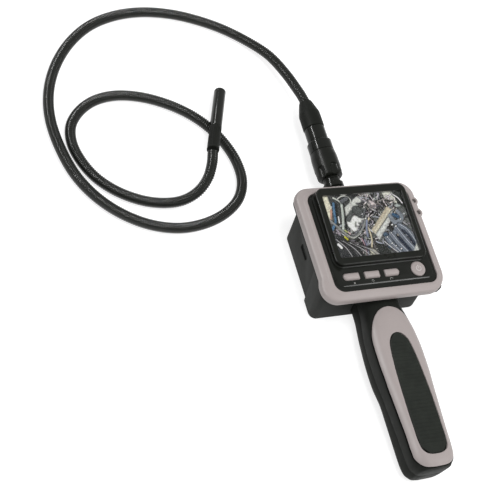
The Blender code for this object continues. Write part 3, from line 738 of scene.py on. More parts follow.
def handle_ring(station, inset, top_drop):
    y, half_w, bottom, top, r_bottom, r_top = station
    y = HANDLE_MID_Y + (y - HANDLE_MID_Y) * (1 - inset / HANDLE_HALF_L)
    half_w -= inset
    bottom += inset
    top -= max(inset, top_drop)
    low = max(r_bottom - inset, 0.8)
    high = max(r_top - inset, 0.8)
    corners = [(-half_w, bottom, low), (half_w, bottom, low), (half_w, top, high), (-half_w, top, high)]
    steps = 10
    section = rounded(corners, steps)
    across = [1 - 2 * k / 12 for k in range(1, 12)]
    crown = [((half_w - high) * f, top + 0.6 * (1 - f * f)) for f in across]
    split = 3 * (steps + 1)
    return [(x, y, z) for x, z in section[:split] + crown + section[split:]]


def handle_solid(name, inset, mat=None, top_drop=0.0, stations=HANDLE_STATIONS, per=5):
    rings = [handle_ring(s, inset, top_drop) for s in dense_stations(stations, per)]
    if stations is HANDLE_STATIONS:
        rings = butt_dome(rings[0]) + rings
    return loft(name, rings, mat)


def butt_dome(ring):
    """Closes the handle's end with a shallow dome instead of a flat face."""
    centre = sum((Vector(p) for p in ring), Vector()) / len(ring)
    rings = []
    for shrink, rise in ((0.35, 0.42), (0.7, 0.32), (0.9, 0.14)):
        dome = []
        for p in ring:
            q = centre + (Vector(p) - centre) * shrink
            dome.append((q.x, q.y - rise, q.z))
        rings.append(dome)
    return rings


def prism(name, outline, z0, z1):
    return loft(name, [flat_ring(outline, z0), flat_ring(outline, z1)])


def half_space(name, keep_above, z):
    low, high = (z, FAR) if keep_above else (-FAR, z)
    return loft(name, block(-FAR, FAR, -FAR, FAR, low, high))


def surface_of(obj):
    """A function that gives the height and normal of the object's top surface at x, y."""
    tree = BVHTree.FromObject(obj, bpy.context.evaluated_depsgraph_get())

    def top(x, y):
        hit, normal, _, _ = tree.ray_cast(Vector((x * MM, y * MM, 0.2)), Vector((0, 0, -1)))
        if hit is None:
            return None
        return hit.z / MM, normal

    return top


def patch(name, outline, inner, top, mat, rows, proud, thick):
    """A skin between two outlines that follows the surface below it, with rounded edges.

    rows are fractions of the way from the outer outline to the inner one.
    """

    def at(flat, lift):
        z, normal = top(*flat)
        return tuple(Vector((*flat, z)) + normal * lift)

    edge = [(0.0, -thick), (0.0, proud - 0.5), (0.12, proud - 0.17), (0.4, proud - 0.04), (0.8, proud)]
    rings = []
    for inset, lift in edge:
        rings.append([at(p, lift) for p in grown(outline, -inset)])
    start, stop = grown(outline, -0.8), grown(inner, 0.8)
    for t in rows:
        rings.append([at(p, proud) for p in between(start, stop, t)])
    for inset, lift in reversed(edge):
        rings.append([at(p, lift) for p in grown(inner, inset)])
    return loft(name, rings, mat, closed=True, sharp=40)


def make_handle():
    outer = handle_solid("handle_surface", 0.0)
    top = surface_of(outer)
    oval = smooth_outline(OVAL_HALF)
    insert = smooth_outline(INSERT_HALF)

    pocket = prism("pocket_guide", grown(oval, GAP), 20.0, 45.0)
    carve(pocket, handle_solid("core_guide", TRIM_POCKET))
    front = handle_solid("handle_front", 0.0, "black")
    carve(front, half_space("front_half_guide", True, HANDLE_SPLIT_Z + GAP / 2), "INTERSECT")
    carve(front, handle_solid("front_hollow_guide", 3.1, None, 3.9))
    carve(front, pocket)
    soften(front, 0.3, 2, 50)
    place(front, "handset", "handle_front_shell", slot="black_plastic")

    back = handle_solid("handle_back", 0.0, "black")
    carve(back, half_space("back_half_guide", False, HANDLE_SPLIT_Z - GAP / 2), "INTERSECT")
    carve(back, handle_solid("back_hollow_guide", 2.1))
    bay = block(-DOOR_HALF_W, DOOR_HALF_W, -FAR, DOOR_END_Y, -FAR, DOOR_TOP_Z)
    carve(back, loft("door_way_guide", bay))
    soften(back, 0.3, 2, 50)
    place(back, "handset", "handle_back_shell", slot="black_plastic")

    room = block(GAP - DOOR_HALF_W, DOOR_HALF_W - GAP, -FAR, DOOR_END_Y - GAP, -FAR, DOOR_TOP_Z - GAP)
    door = handle_solid("battery_door_fine", 0.0, "black")
    carve(door, loft("door_room_guide", room), "INTERSECT")
    carve(door, handle_solid("door_hollow_guide", 2.1))
    carve(door, several("door_rib_guide", door_grooves()))
    soften(door, 0.25, 2, 50)
    place(door, "battery_door", "battery_door", slot="black_plastic")

    rows = [k / 16 for k in range(17)]
    trim = patch("grip_trim_fine", oval, matched(insert, oval), top, "light", rows, 0.12, 1.5)
    place(trim, "handset", "grip_trim", slot="light_plastic")
    ribbed = rib_patch("grip_insert_fine", grown(insert, -GAP), top)
    place(ribbed, "handset", "grip_insert", slot="rubber")
    bpy.data.objects.remove(outer, do_unlink=True)


def door_grooves():
    """Shallow finger grooves across the battery door's foot."""
    grooves = []
    for k in range(6):
        y = -128.0 - 3.0 * k
        grooves.append(turned([(-7.0, 0.9), (7.0, 0.9)], (0.0, y, 0.75), (1, 0, 0), 12))
    return grooves


def matched(inner, outer):
    """The inner outline's points, one for each point of the outer outline, by share of the way round."""

    def lengths(outline):
        points = np.array(outline + [outline[0]])
        steps = np.linalg.norm(np.diff(points, axis=0), axis=1)
        return points, np.concatenate([[0.0], np.cumsum(steps)])

    points, along = lengths(inner)
    _, wanted = lengths(outer)
    share = wanted[:-1] / wanted[-1] * along[-1]
    xs = np.interp(share, along, points[:, 0])
    ys = np.interp(share, along, points[:, 1])
    return [(float(x), float(y)) for x, y in zip(xs, ys)]


def rib_patch(name, outline, top):
    """The soft insert: a sheet of rows across the handle, with a wave of ribs along it."""
    ys = np.array([p[1] for p in outline])
    xs = np.array([p[0] for p in outline])
    right = xs >= 0
    order = np.argsort(ys[right])
    edge_y, edge_x = ys[right][order], xs[right][order]
    low, high = edge_y[0], edge_y[-1]
    row_count = int((high - low) / 0.29)
    across = 24
    grid = []
    for i in range(row_count + 1):
        t = i / row_count
        y = low + (high - low) * (0.5 - 0.5 * math.cos(math.pi * t) if t < 0.06 or t > 0.94 else t)
        half = max(float(np.interp(y, edge_y, edge_x)), 0.05)
        row = []
        for j in range(across + 1):
            x = half * math.sin(math.pi * (j / across - 0.5))
            z, normal = top(x, y)
            inside = min(half - abs(x), y - low, high - y)
            edge = min(max(inside, 0.0) / 0.9, 1.0)
            fade = min(max(inside - 0.7, 0.0) / 1.3, 1.0)
            wave = 0.5 - 0.5 * math.cos(2 * math.pi * (y + 0.25 * math.sin(x * 0.25)) / RIB_PITCH)
            lift = 0.15 - 0.7 * (1 - edge) ** 2 - RIB_DEPTH * (wave**1.6) * fade
            row.append(tuple(Vector((x, y, z)) + normal * lift))
        grid.append(row)
    verts = [p for row in grid for p in row]
    faces = grid_faces(row_count + 1, across + 1)
    rim = grid_rim(row_count + 1, across + 1)
    close_below(verts, faces, rim, lambda x, y, z: (x, y, z - 0.6))
    return add_mesh(name, verts, faces, "rubber", 60)


# ---------------------------------------------------------------- head case


def case_ring(z, inset, extra=0.0):
    left = BOX_HALF_W + BOX_DRAFT * z + extra - inset
    right = left - BOX_RIGHT_LESS
    low = BOX_Y[0] + BOX_LEAN * z + inset
    high = BOX_Y[1] + BOX_LEAN * z - inset
    corners = [
        (-left, low, max(BOX_CORNER - inset, 1.0)),
        (right, low, max(BOX_CORNER + 2.0 - inset, 1.0)),
        (right, high, max(BOX_CORNER - inset, 1.0)),
        (-left, high, max(BOX_CORNER - 2.0 - inset, 1.0)),
    ]
    return flat_ring(rounded(corners), z)


def case_solid(name, extra, mat):
    edge = [(0.0, 1.35), (0.1, 0.85), (0.35, 0.42), (0.75, 0.14), (1.3, 0.0)]
    heights = edge + [(BOX_TOP_Z - 0.3, 0.0), (BOX_TOP_Z, 0.3)]
    return loft(name, [case_ring(z, inset, extra) for z, inset in heights], mat)


def case_hollow(name):
    heights = ((BOX_WALL, BOX_WALL + 1.6), (BOX_WALL + 1.6, BOX_WALL), (BOX_TOP_Z + 5.0, BOX_WALL))
    return loft(name, [case_ring(z, inset) for z, inset in heights])


def seam_cutter(name, above, shift):
    low, high = -5.0, 45.0
    far = FAR if above else -FAR
    rings = []
    for x in (-FAR, FAR):
        rings.append(
            [
                (x, SEAM_Y + shift + SEAM_LEAN * low, low),
                (x, SEAM_Y + shift + SEAM_LEAN * high, high),
                (x, far, high),
                (x, far, low),
            ]
        )
    return loft(name, rings)


def make_case():
    case = case_solid("head_case", 0.0, "grey")
    carve(case, seam_cutter("upper_guide", True, GAP / 2), "INTERSECT")
    carve(case, case_hollow("case_hollow_guide"))
    carve(case, loft("neck_hole_guide", on_neck([(44.0, 7.3), (60.0, 7.3)])))
    slot_outline = rounded(rect(6.5, 19.4, 24.8, 1.8, 21.7), 6)
    slot_way = [[(x, y, z) for y, z in slot_outline] for x in (-52.0, -40.0)]
    carve(case, loft("port_way_guide", slot_way))
    carve(case, several("screw_holes_guide", screw_rings(0.25, -1.0, 3.0)))
    soften(case, 0.35, 3, 45)
    place(case, "handset", "head_back_shell", slot="grey_plastic")

    cover = case_solid("head_foot_cover", FOOT_EXTRA, "grey")
    carve(cover, seam_cutter("lower_guide", False, -GAP / 2), "INTERSECT")
    carve(cover, case_hollow("cover_hollow_guide"))
    neck = [s for s in HANDLE_STATIONS if s[0] > -60.0] + [(-8.0, *HANDLE_STATIONS[-1][1:])]
    carve(cover, handle_solid("handle_way_guide", -GAP, None, -GAP, neck, 3))
    soften(cover, 0.45, 3, 45)
    place(cover, "handset", "head_lower_cover", slot="grey_plastic")

    outline = rounded(rect(6.2, 19.7, 24.5, 1.6, 21.7), 6)
    inner = [(21.7 + (y - 21.7) * 0.93, 22.1 + (z - 22.1) * 0.86) for y, z in outline]
    rings = [
        [(-45.3, y, z) for y, z in outline],
        [(-46.4, y, z) for y, z in outline],
        [(-46.6, y, z) for y, z in inner],
    ]
    port = loft("port_cover_fine", rings, "rubber")
    place(port, "handset", "port_cover", slot="rubber")


def screw_rings(clearance, z0, z1):
    r_head, r_shank = 2.6 + clearance, 1.2 + clearance
    profile = [(z0, r_head), (1.9, r_head), (2.0, r_shank), (z1, r_shank)]
    return [
        turned(profile, (x, y, 0.0), UP, 32) for x in (-38.0, 38.0) for y in (8.0, 40.0)
    ]


def make_screws():
    """Case screws with a cross recess."""
    for k, (x, y) in enumerate([(-38.0, 8.0), (-38.0, 40.0), (38.0, 8.0), (38.0, 40.0)]):
        shape = [(0.35, 0.01), (0.4, 2.3, 0.2), (0.8, 2.6, 0.3), (1.9, 2.6), (2.0, 1.2), (8.0, 1.1)]
        profile = eased(shape, 0.1)
        screw = loft(f"case_screw_fine_{k + 1}", turned(profile, (x, y, 0.0), UP, 32), "nickel")
        for dx, dy in ((1.5, 0.28), (0.28, 1.5)):
            carve(screw, loft("recess_guide", block(x - dx, x + dx, y - dy, y + dy, 0.0, 1.2)))
        place(screw, "handset", f"case_screw_{k + 1}", slot="nickel")


# ---------------------------------------------------------------- display


def bezel_outline(inset=0.0):
    low, high = HEAD_Y - TRIM_HALF_H, HEAD_Y + TRIM_HALF_H
    wide, narrow = TRIM_FOOT_HALF_W - inset, TRIM_HALF_W - inset
    edge = narrow - TRIM_RIGHT_LESS
    right = [
        (edge, low + inset, 16.5 - inset),
        (edge, -13.0, 1.0),
        (edge, -10.0, 1.0),
        (edge, high - inset, 13.0 - inset),
    ]
    left = [
        (-narrow, high - inset, 11.5 - inset),
        (-narrow, -11.0, 3.0),
        (-wide, -16.5, 3.0),
        (-wide, low + inset, 12.0 - inset),
    ]
    return rounded(right + left, 12)


def panel_outline(inset=0.0, foot=0.0):
    """The panel's outline; foot moves its lower edge up by that much more."""
    low, high = HEAD_Y - PANEL_HALF_H + inset + foot, HEAD_Y + PANEL_HALF_H - inset
    half_w = PANEL_HALF_W - inset
    right = [
        (half_w, low, 8.0 - inset),
        (half_w, -14.0, 1.0),
        (half_w, -10.0, 1.0),
        (half_w, high, 8.0 - inset),
    ]
    left = [(-x, y, r) for x, y, r in reversed(right)]
    return rounded(right + left, 12)


def make_bezel():
    outer, inner = bezel_outline(), panel_outline()
    profile = eased(
        [
            (0.02, TRIM_BOTTOM_Z),
            (0.0, 39.2, 0.6),
            (0.0, 42.2, 1.6),
            (0.09, 43.9, 1.2),
            (0.30, 44.9, 0.8),
            (0.60, 45.7, 0.5),
            (0.70, TRIM_TOP_Z, 0.5),
            (0.97, TRIM_TOP_Z, 0.3),
            (1.0, TRIM_TOP_Z - 0.8, 0.3),
            (1.0, TRIM_BOTTOM_Z),
        ],
        0.4,
        5,
    )
    rings = [flat_ring(between(outer, inner, t), z) for t, z in profile]
    bezel = loft("bezel", rings, "light", closed=True, sharp=40)
    top = BOSS_TOP_Z
    bosses = boss_rings([(39.0, 0.0), (top - 0.6, 0.0), (top - 0.35, -0.1), (top - 0.1, -0.35), (top, -0.7)])
    carve(bezel, several("boss_guide", bosses), "UNION")
    carve(bezel, several("boss_hole_guide", on_bosses([(42.0, BOSS_HOLE_R), (60.0, BOSS_HOLE_R)], 32)))
    soften(bezel, 0.12, 2, 50)
    place(bezel, "handset", "screen_bezel", slot="light_plastic")
    for k, (x, y) in enumerate(BOSSES):
        profile = eased([(42.3, 1.0), (42.3, 1.3), (44.4, 1.3, 0.3), (44.7, 0.01)], 0.1)
        screw = loft(f"bezel_screw_fine_{k + 1}", turned(profile, (x, y, 0.0), UP, 32), "nickel")
        carve(screw, loft("slot_guide", block(x - 1.5, x + 1.5, y - 0.2, y + 0.2, 44.2, 46.0)))
        place(screw, "handset", f"bezel_screw_{k + 1}", slot="nickel")


def boss_rings(heights):
    """The two round bosses on the bezel's right edge, cut flat where they meet the panel."""
    solids = []
    for x, y in BOSSES:
        outline = []
        for i in range(BOSS_SIDES):
            a = 2 * math.pi * (i + 0.5) / BOSS_SIDES
            outline.append((max(x + BOSS_R * math.cos(a), BOSS_SIDE_X), y + BOSS_R * math.sin(a)))
        solids.append([flat_ring(grown(outline, less), z) for z, less in heights])
    return solids


def on_bosses(profile, segments):
    return [turned(profile, (x, y, 0.0), UP, segments) for x, y in BOSSES]


def frame_top(y):
    return FRAME_TOP_Z + FRAME_RISE * (y - FRAME_Y[0])


def sloped_ring(outline, drop):
    return [(x, y, frame_top(y) - drop) for x, y in outline]


def pill_outline(x0, x1, half_h):
    """A button of the row: its outer ends are round, its ends inside the row nearly square."""
    square = min(0.9, half_h * 0.9)
    left = half_h * 0.97 if x0 < -30 else square
    right = half_h * 0.97 if x1 > 10 else square
    low, high = PILL_Y - half_h, PILL_Y + half_h
    return rounded([(x0, low, left), (x1, low, right), (x1, high, right), (x0, high, left)])


def make_panel():
    """The black front: a sunk margin, wider at the foot, round a raised field."""
    rings = [
        flat_ring(panel_outline(GAP), PANEL_LOW_Z),
        flat_ring(panel_outline(GAP), 45.0),
        flat_ring(panel_outline(GAP + 0.15), 45.15),
        flat_ring(panel_outline(GAP + 0.5), 45.2),
        flat_ring(panel_outline(1.8, 2.4), 45.1),
        flat_ring(panel_outline(1.85, 2.4), 45.3),
        flat_ring(panel_outline(3.05, 2.4), 46.07),
        flat_ring(panel_outline(3.25, 2.4), PANEL_TOP_Z),
    ]
    panel = loft("front_plate", rings, "gloss")
    carve(panel, prism("screen_hole_guide", rounded(rect(37.8, -1.6, 56.8, 3.0)), 30.0, 60.0))
    for name, (x0, x1) in PILLS.items():
        hole = pill_outline(x0 - GAP, x1 + GAP, PILL_HALF_H + GAP)
        carve(panel, prism(f"{name}_hole_guide", hole, 30.0, 60.0))
    power_hole = turned([(30.0, POWER_R + GAP), (60.0, POWER_R + GAP)], (*POWER_XY, 0), UP, 64)
    carve(panel, loft("power_hole_guide", power_hole))
    soften(panel, 0.15, 2, 55)
    place(panel, "handset", "front_panel", slot="gloss_black")


def make_screen():
    half_w, half_h = SCREEN_SIZE[0] / 2, SCREEN_SIZE[1] / 2

    def frame_outline(inset):
        return rounded(rect(FRAME_HALF_W - inset, FRAME_Y[0] + inset, FRAME_Y[1] - inset, 6.5 - inset), 12)

    hole = rounded(rect(half_w, SCREEN_Y - half_h, SCREEN_Y + half_h, 1.5), 12)
    lip = rounded(rect(half_w + 0.5, SCREEN_Y - half_h - 0.5, SCREEN_Y + half_h + 0.5, 2.0), 12)
    foot = PANEL_TOP_Z + GAP
    rings = [
        flat_ring(hole, foot),
        flat_ring(frame_outline(-0.7), foot),
        flat_ring(frame_outline(-0.7), foot + 0.25),
        flat_ring(frame_outline(-0.05), foot + 0.68),
        flat_ring(frame_outline(0.1), foot + 0.75),
        sloped_ring(frame_outline(0.1), 0.75),
        sloped_ring(frame_outline(0.25), 0.6),
        sloped_ring(frame_outline(1.05), 0.05),
        sloped_ring(frame_outline(1.3), 0.0),
        sloped_ring(lip, 0.0),
        sloped_ring(hole, 0.45),
    ]
    surround = loft("screen_surround", rings, "satin", closed=True, sharp=40)
    place(surround, "handset", "screen_frame", slot="gloss_black")

    pane = rounded(rect(half_w - GAP, SCREEN_Y - half_h + GAP, SCREEN_Y + half_h - GAP, 1.2), 8)
    window = loft("screen_window_fine", [sloped_ring(pane, 1.5), sloped_ring(pane, 0.7)], "clear")
    place(window, "handset", "screen_window", slot="clear_glass")
    make_picture(half_w - 0.4, half_h - 0.4)


# ---------------------------------------------------------------- the picture on the display


def paint_field(width, height):
    """The display's picture, rows from the foot up: hoses, brackets and cables in an engine bay."""
    v, u = np.mgrid[0:height, 0:width]
    u = u / (width - 1) * 4.0 / 3.0
    v = v / (height - 1)
    image = np.zeros((height, width, 3))
    image[:] = (0.10, 0.105, 0.10)
    rng = np.random.default_rng(7)

    def speckle(cells):
        coarse = rng.random((cells, cells * 4 // 3))
        rows = np.linspace(0, cells - 1, height)
        columns = np.linspace(0, cells * 4 // 3 - 1, width)
        r0, c0 = rows.astype(int), columns.astype(int)
        r1, c1 = np.minimum(r0 + 1, cells - 1), np.minimum(c0 + 1, cells * 4 // 3 - 1)
        fr, fc = (rows - r0)[:, None], (columns - c0)[None, :]
        low = coarse[r0][:, c0] * (1 - fc) + coarse[r0][:, c1] * fc
        high = coarse[r1][:, c0] * (1 - fc) + coarse[r1][:, c1] * fc
        return low * (1 - fr) + high * fr

    image *= (0.55 + 0.9 * speckle(48) * speckle(20))[..., None]

    def blend(mask, rgb, shade=1.0):
        colour = np.array(rgb)[None, None, :] * (shade[..., None] if np.ndim(shade) else shade)
        image[:] = image * (1 - mask[..., None]) + colour * mask[..., None]

    def slab(points, rgb, grain=0.25, soft=0.006):
        """A flat-faced part: a filled convex outline with a mottled surface."""
        inside = np.full(u.shape, 1e9)
        for (x0, y0), (x1, y1) in zip(points, points[1:] + points[:1]):
            length = math.hypot(x1 - x0, y1 - y0)
            inside = np.minimum(inside, ((u - x0) * -(y1 - y0) + (v - y0) * (x1 - x0)) / length)
        mask = np.clip(inside / soft + 0.5, 0, 1)
        rim = np.clip(1 - inside / 0.02, 0, 1)
        blend(mask, rgb, (1 - grain / 2 + grain * speckle(36)) * (1 - 0.35 * rim))

    def hose(points, radius, rgb, lit=0.55):
        """A round part along a line, brighter along its upper left side."""
        path = np.array(catmull(points, 8)) if len(points) > 2 else np.array(points, float)
        best = np.full(u.shape, 1e9)
        side = np.zeros(u.shape)
        for (x0, y0), (x1, y1) in zip(path[:-1], path[1:]):
            dx, dy = x1 - x0, y1 - y0
            t = np.clip(((u - x0) * dx + (v - y0) * dy) / (dx * dx + dy * dy + 1e-9), 0, 1)
            ex, ey = u - (x0 + t * dx), v - (y0 + t * dy)
            distance = np.hypot(ex, ey)
            near = distance < best
            best = np.where(near, distance, best)
            side = np.where(near, (-ex * 0.6 + ey * 0.8) / radius, side)
        mask = np.clip((radius - best) / 0.005 + 0.5, 0, 1)
        shadow = np.clip(1 - np.abs(best - radius) / 0.02, 0, 1) * (best > radius) * 0.55
        image[:] = image * (1 - shadow[..., None])
        shape = np.sqrt(np.clip(1 - (best / radius) ** 2, 0, 1))
        shade = 0.35 + 0.55 * shape + lit * np.clip(side, 0, 1) ** 2
        blend(mask, rgb, shade)

    pale, beige, grey = (0.48, 0.49, 0.45), (0.36, 0.32, 0.24), (0.22, 0.23, 0.22)
    steel, dark, blue = (0.15, 0.17, 0.20), (0.03, 0.032, 0.03), (0.07, 0.14, 0.23)

    def litter(count, x0, x1, y0, y1, reach, radius, low, high):
        """Short strokes of mixed tones: wires, clips and edges too small to make out."""
        for _ in range(count):
            x, y = x0 + (x1 - x0) * rng.random(), y0 + (y1 - y0) * rng.random()
            turn = 6.28 * rng.random()
            end = (x + reach * math.cos(turn), y + reach * math.sin(turn))
            middle = ((x + end[0]) / 2 + 0.2 * reach * rng.normal(), (y + end[1]) / 2)
            tone = low + (high - low) * rng.random() ** 1.7
            tint = (tone * (0.9 + 0.2 * rng.random()), tone * 0.97, tone * (0.85 + 0.25 * rng.random()))
            hose([(x, y), middle, end], radius * (0.6 + 0.8 * rng.random()), tint, 0.3)

    litter(210, 0.0, 1.33, 0.0, 1.0, 0.10, 0.013, 0.02, 0.55)
    slab([(0.14, 0.62), (0.46, 0.84), (0.60, 1.0), (0.10, 1.0)], (0.045, 0.047, 0.046))
    beam = [(0.27, 0.63), (0.42, 0.73), (0.64, 0.86), (0.84, 1.0), (0.62, 1.0), (0.30, 0.79)]
    slab(beam, (0.42, 0.43, 0.40))
    slab([(0.0, 0.60), (0.045, 0.63), (0.10, 0.80), (0.09, 1.0), (0.0, 1.0)], (0.48, 0.46, 0.36))
    slab([(0.02, 0.60), (0.05, 0.62), (0.10, 0.78), (0.07, 0.80)], (0.44, 0.26, 0.19))
    plate = [(1.00, 1.0), (0.98, 0.93), (1.10, 0.86), (1.22, 0.80), (1.24, 0.84), (1.17, 1.0)]
    slab(plate, (0.46, 0.46, 0.40))
    slab([(1.17, 1.0), (1.24, 0.80), (1.333, 0.72), (1.333, 1.0)], dark)
    slab([(1.08, 0.72), (1.20, 0.74), (1.333, 0.64), (1.333, 0.70), (1.22, 0.80)], (0.36, 0.40, 0.38))
    slab([(0.28, 0.50), (0.365, 0.37), (0.60, 0.60), (0.44, 0.66), (0.28, 0.60)], (0.56, 0.57, 0.54), 0.12)
    litter(80, 0.62, 1.12, 0.60, 1.0, 0.13, 0.008, 0.03, 0.70)
    slab([(0.72, 0.78), (0.84, 0.74), (0.88, 0.86), (0.76, 0.90)], (0.46, 0.41, 0.40))
    litter(30, 0.66, 0.98, 0.66, 0.96, 0.16, 0.006, 0.02, 0.60)
    litter(60, 0.42, 0.72, 0.02, 0.56, 0.07, 0.009, 0.05, 0.60)
    litter(34, 0.74, 1.05, 0.18, 0.50, 0.07, 0.012, 0.04, 0.40)
    slab([(0.64, 0.40), (0.69, 0.33), (1.09, 0.71), (1.03, 0.77)], beige)
    slab([(0.66, 0.37), (0.69, 0.33), (1.09, 0.70), (1.07, 0.73)], (0.46, 0.43, 0.34), 0.1)
    slab([(0.69, 0.32), (0.73, 0.23), (1.09, 0.60), (1.10, 0.69)], (0.38, 0.39, 0.37))
    slab([(0.50, 0.0), (0.66, 0.0), (0.58, 0.11), (0.52, 0.13)], (0.50, 0.49, 0.40))
    slab([(0.66, 0.0), (0.86, 0.0), (0.78, 0.16), (0.64, 0.18)], dark)
    slab([(0.0, 0.0), (0.42, 0.0), (0.20, 0.30), (0.0, 0.42)], (0.035, 0.036, 0.037))
    hose([(0.155, 0.88), (0.12, 0.72), (0.095, 0.58), (0.01, 0.46)], 0.019, blue)
    hose([(0.19, 0.86), (0.155, 0.70), (0.13, 0.52)], 0.010, dark, 0.1)
    hose([(0.17, 0.66), (0.155, 0.56)], 0.010, (0.58, 0.58, 0.56))
    hose([(0.285, 0.86), (0.245, 0.66), (0.175, 0.42)], 0.019, (0.38, 0.41, 0.37))
    hose([(0.315, 0.84), (0.285, 0.66), (0.235, 0.44)], 0.008, dark, 0.1)
    hose([(0.18, 0.97), (0.24, 0.93), (0.28, 0.88)], 0.014, (0.40, 0.42, 0.38))
    hose([(0.245, 0.95), (0.33, 0.99), (0.41, 0.98), (0.455, 0.92), (0.435, 0.87)], 0.008, pale)
    hose([(0.30, 0.90), (0.40, 0.95)], 0.030, (0.10, 0.105, 0.11), 0.2)
    hose([(0.32, 0.60), (0.41, 0.71)], 0.036, (0.085, 0.09, 0.088), 0.25)
    hose([(0.50, 0.74), (0.55, 0.68)], 0.078, (0.075, 0.08, 0.078), 0.15)
    hose([(0.56, 0.62), (0.60, 0.66), (0.64, 0.74)], 0.014, (0.10, 0.105, 0.11))
    sag = [(0.0, 0.63), (0.115, 0.49), (0.21, 0.37), (0.31, 0.315), (0.44, 0.375), (0.58, 0.535), (0.64, 0.64)]
    hose(sag, 0.015, grey)
    hose([(0.24, 0.375), (0.32, 0.345), (0.43, 0.41), (0.56, 0.56)], 0.009, (0.12, 0.125, 0.13))
    hose([(0.22, 0.36), (0.31, 0.30), (0.45, 0.36)], 0.005, pale)
    hose([(0.67, 0.60), (0.605, 0.50), (0.61, 0.38), (0.60, 0.24), (0.56, 0.12)], 0.012, (0.46, 0.41, 0.29))
    hose([(0.62, 0.56), (0.57, 0.42), (0.55, 0.30)], 0.016, (0.17, 0.19, 0.25))
    hose([(0.44, 0.28), (0.46, 0.14), (0.44, 0.0)], 0.011, (0.30, 0.20, 0.23))
    hose([(0.48, 0.26), (0.49, 0.12), (0.47, 0.0)], 0.009, (0.20, 0.20, 0.28))
    hose([(1.04, 0.60), (1.07, 0.50), (1.14, 0.49), (1.22, 0.57), (1.19, 0.66)], 0.040, (0.17, 0.19, 0.21))
    hose([(1.10, 0.62), (1.16, 0.58)], 0.030, (0.05, 0.09, 0.15), 0.3)
    hose([(0.86, 0.30), (0.92, 0.20), (0.88, 0.12)], 0.045, (0.07, 0.10, 0.14), 0.3)
    hose([(0.90, 0.24), (1.04, 0.34), (1.14, 0.44)], 0.036, steel)
    pipes = [
        ((1.15, 0.43), (1.24, 0.35), (1.33, 0.13)),
        ((1.08, 0.39), (1.17, 0.19), (1.27, 0.01)),
        ((0.96, 0.30), (1.03, 0.15), (1.14, -0.02)),
        ((0.87, 0.24), (0.93, 0.12), (1.03, -0.03)),
    ]
    for start, middle, stop in pipes:
        hose([start, middle, stop], 0.047, (0.15, 0.17, 0.20), 0.35)
        hose([(p[0] + 0.005, p[1] + 0.018) for p in (start, middle, stop)], 0.008, (0.36, 0.39, 0.43))
    hose([(1.17, 0.35), (1.24, 0.26), (1.30, 0.10)], 0.018, (0.035, 0.04, 0.055), 0.1)
    hose([(1.06, 0.24), (1.13, 0.12), (1.20, 0.0)], 0.020, (0.025, 0.03, 0.045), 0.1)
    hose([(0.80, 0.20), (0.90, 0.08), (0.98, 0.0)], 0.007, (0.50, 0.50, 0.50))
    slab([(1.24, 0.0), (1.333, 0.0), (1.333, 0.13)], (0.42, 0.43, 0.40))
    hose([(1.20, 0.955), (1.27, 0.89), (1.315, 0.80)], 0.010, (0.85, 0.85, 0.83), 0.2)
    hose([(1.19, 0.99), (1.20, 0.955)], 0.006, pale)
    for k in range(11):
        start = (0.02 + 0.035 * k, 0.30 - 0.012 * k)
        stop = (0.20 + 0.05 * k, 0.0)
        middle = ((start[0] + stop[0]) / 2 + 0.03, (start[1] + stop[1]) / 2 + 0.02 * (k % 3))
        tone = (0.36, 0.04, 0.12)[k % 3]
        hose([start, middle, stop], 0.0065, (tone, tone, tone))
    hose([(0.035, 0.215), (0.065, 0.165)], 0.022, (0.72, 0.72, 0.70))
    hose([(0.175, 0.325), (0.205, 0.285)], 0.015, (0.50, 0.48, 0.05))
    hose([(0.21, 0.43), (0.24, 0.40)], 0.013, (0.32, 0.36, 0.14))
    hose([(0.255, 0.40), (0.275, 0.37)], 0.010, (0.55, 0.40, 0.38))
    for _ in range(12):
        x, y = 0.45 + 0.75 * rng.random(), 0.05 + 0.75 * rng.random()
        hose([(x, y), (x + 0.012, y + 0.008)], 0.006 + 0.006 * rng.random(), (0.68, 0.68, 0.66))
    image *= (0.62 + 0.76 * speckle(90))[..., None]
    grain = 0.90 + 0.20 * rng.random((height, width))
    return np.clip(image * grain[..., None] * 1.85 - 0.03, 0, 1)


def make_picture(half_w, half_h):
    """The display glass: a fine grid whose vertices carry the picture's colours."""
    width, height = 261, 196
    colours = paint_field(width, height)
    verts = []
    for j in range(height):
        for i in range(width):
            x = half_w * (2 * i / (width - 1) - 1)
            y = SCREEN_Y + half_h * (2 * j / (height - 1) - 1)
            verts.append((x, y, frame_top(y) - 2.0))
    faces = grid_faces(height, width)
    close_below(verts, faces, grid_rim(height, width), lambda x, y, z: (x, y, PANEL_LOW_Z))
    panel = add_mesh("display_cell", verts, faces, "display")
    layer = panel.data.color_attributes.new("Picture", "FLOAT_COLOR", "POINT")
    values = np.zeros((len(verts), 4))
    values[:, 3] = 1.0
    values[: width * height, :3] = colours.reshape(-1, 3)
    layer.data.foreach_set("color", values.ravel())
    place(panel, "handset", "lcd_panel", slot="lcd_glass")


# ---------------------------------------------------------------- controls


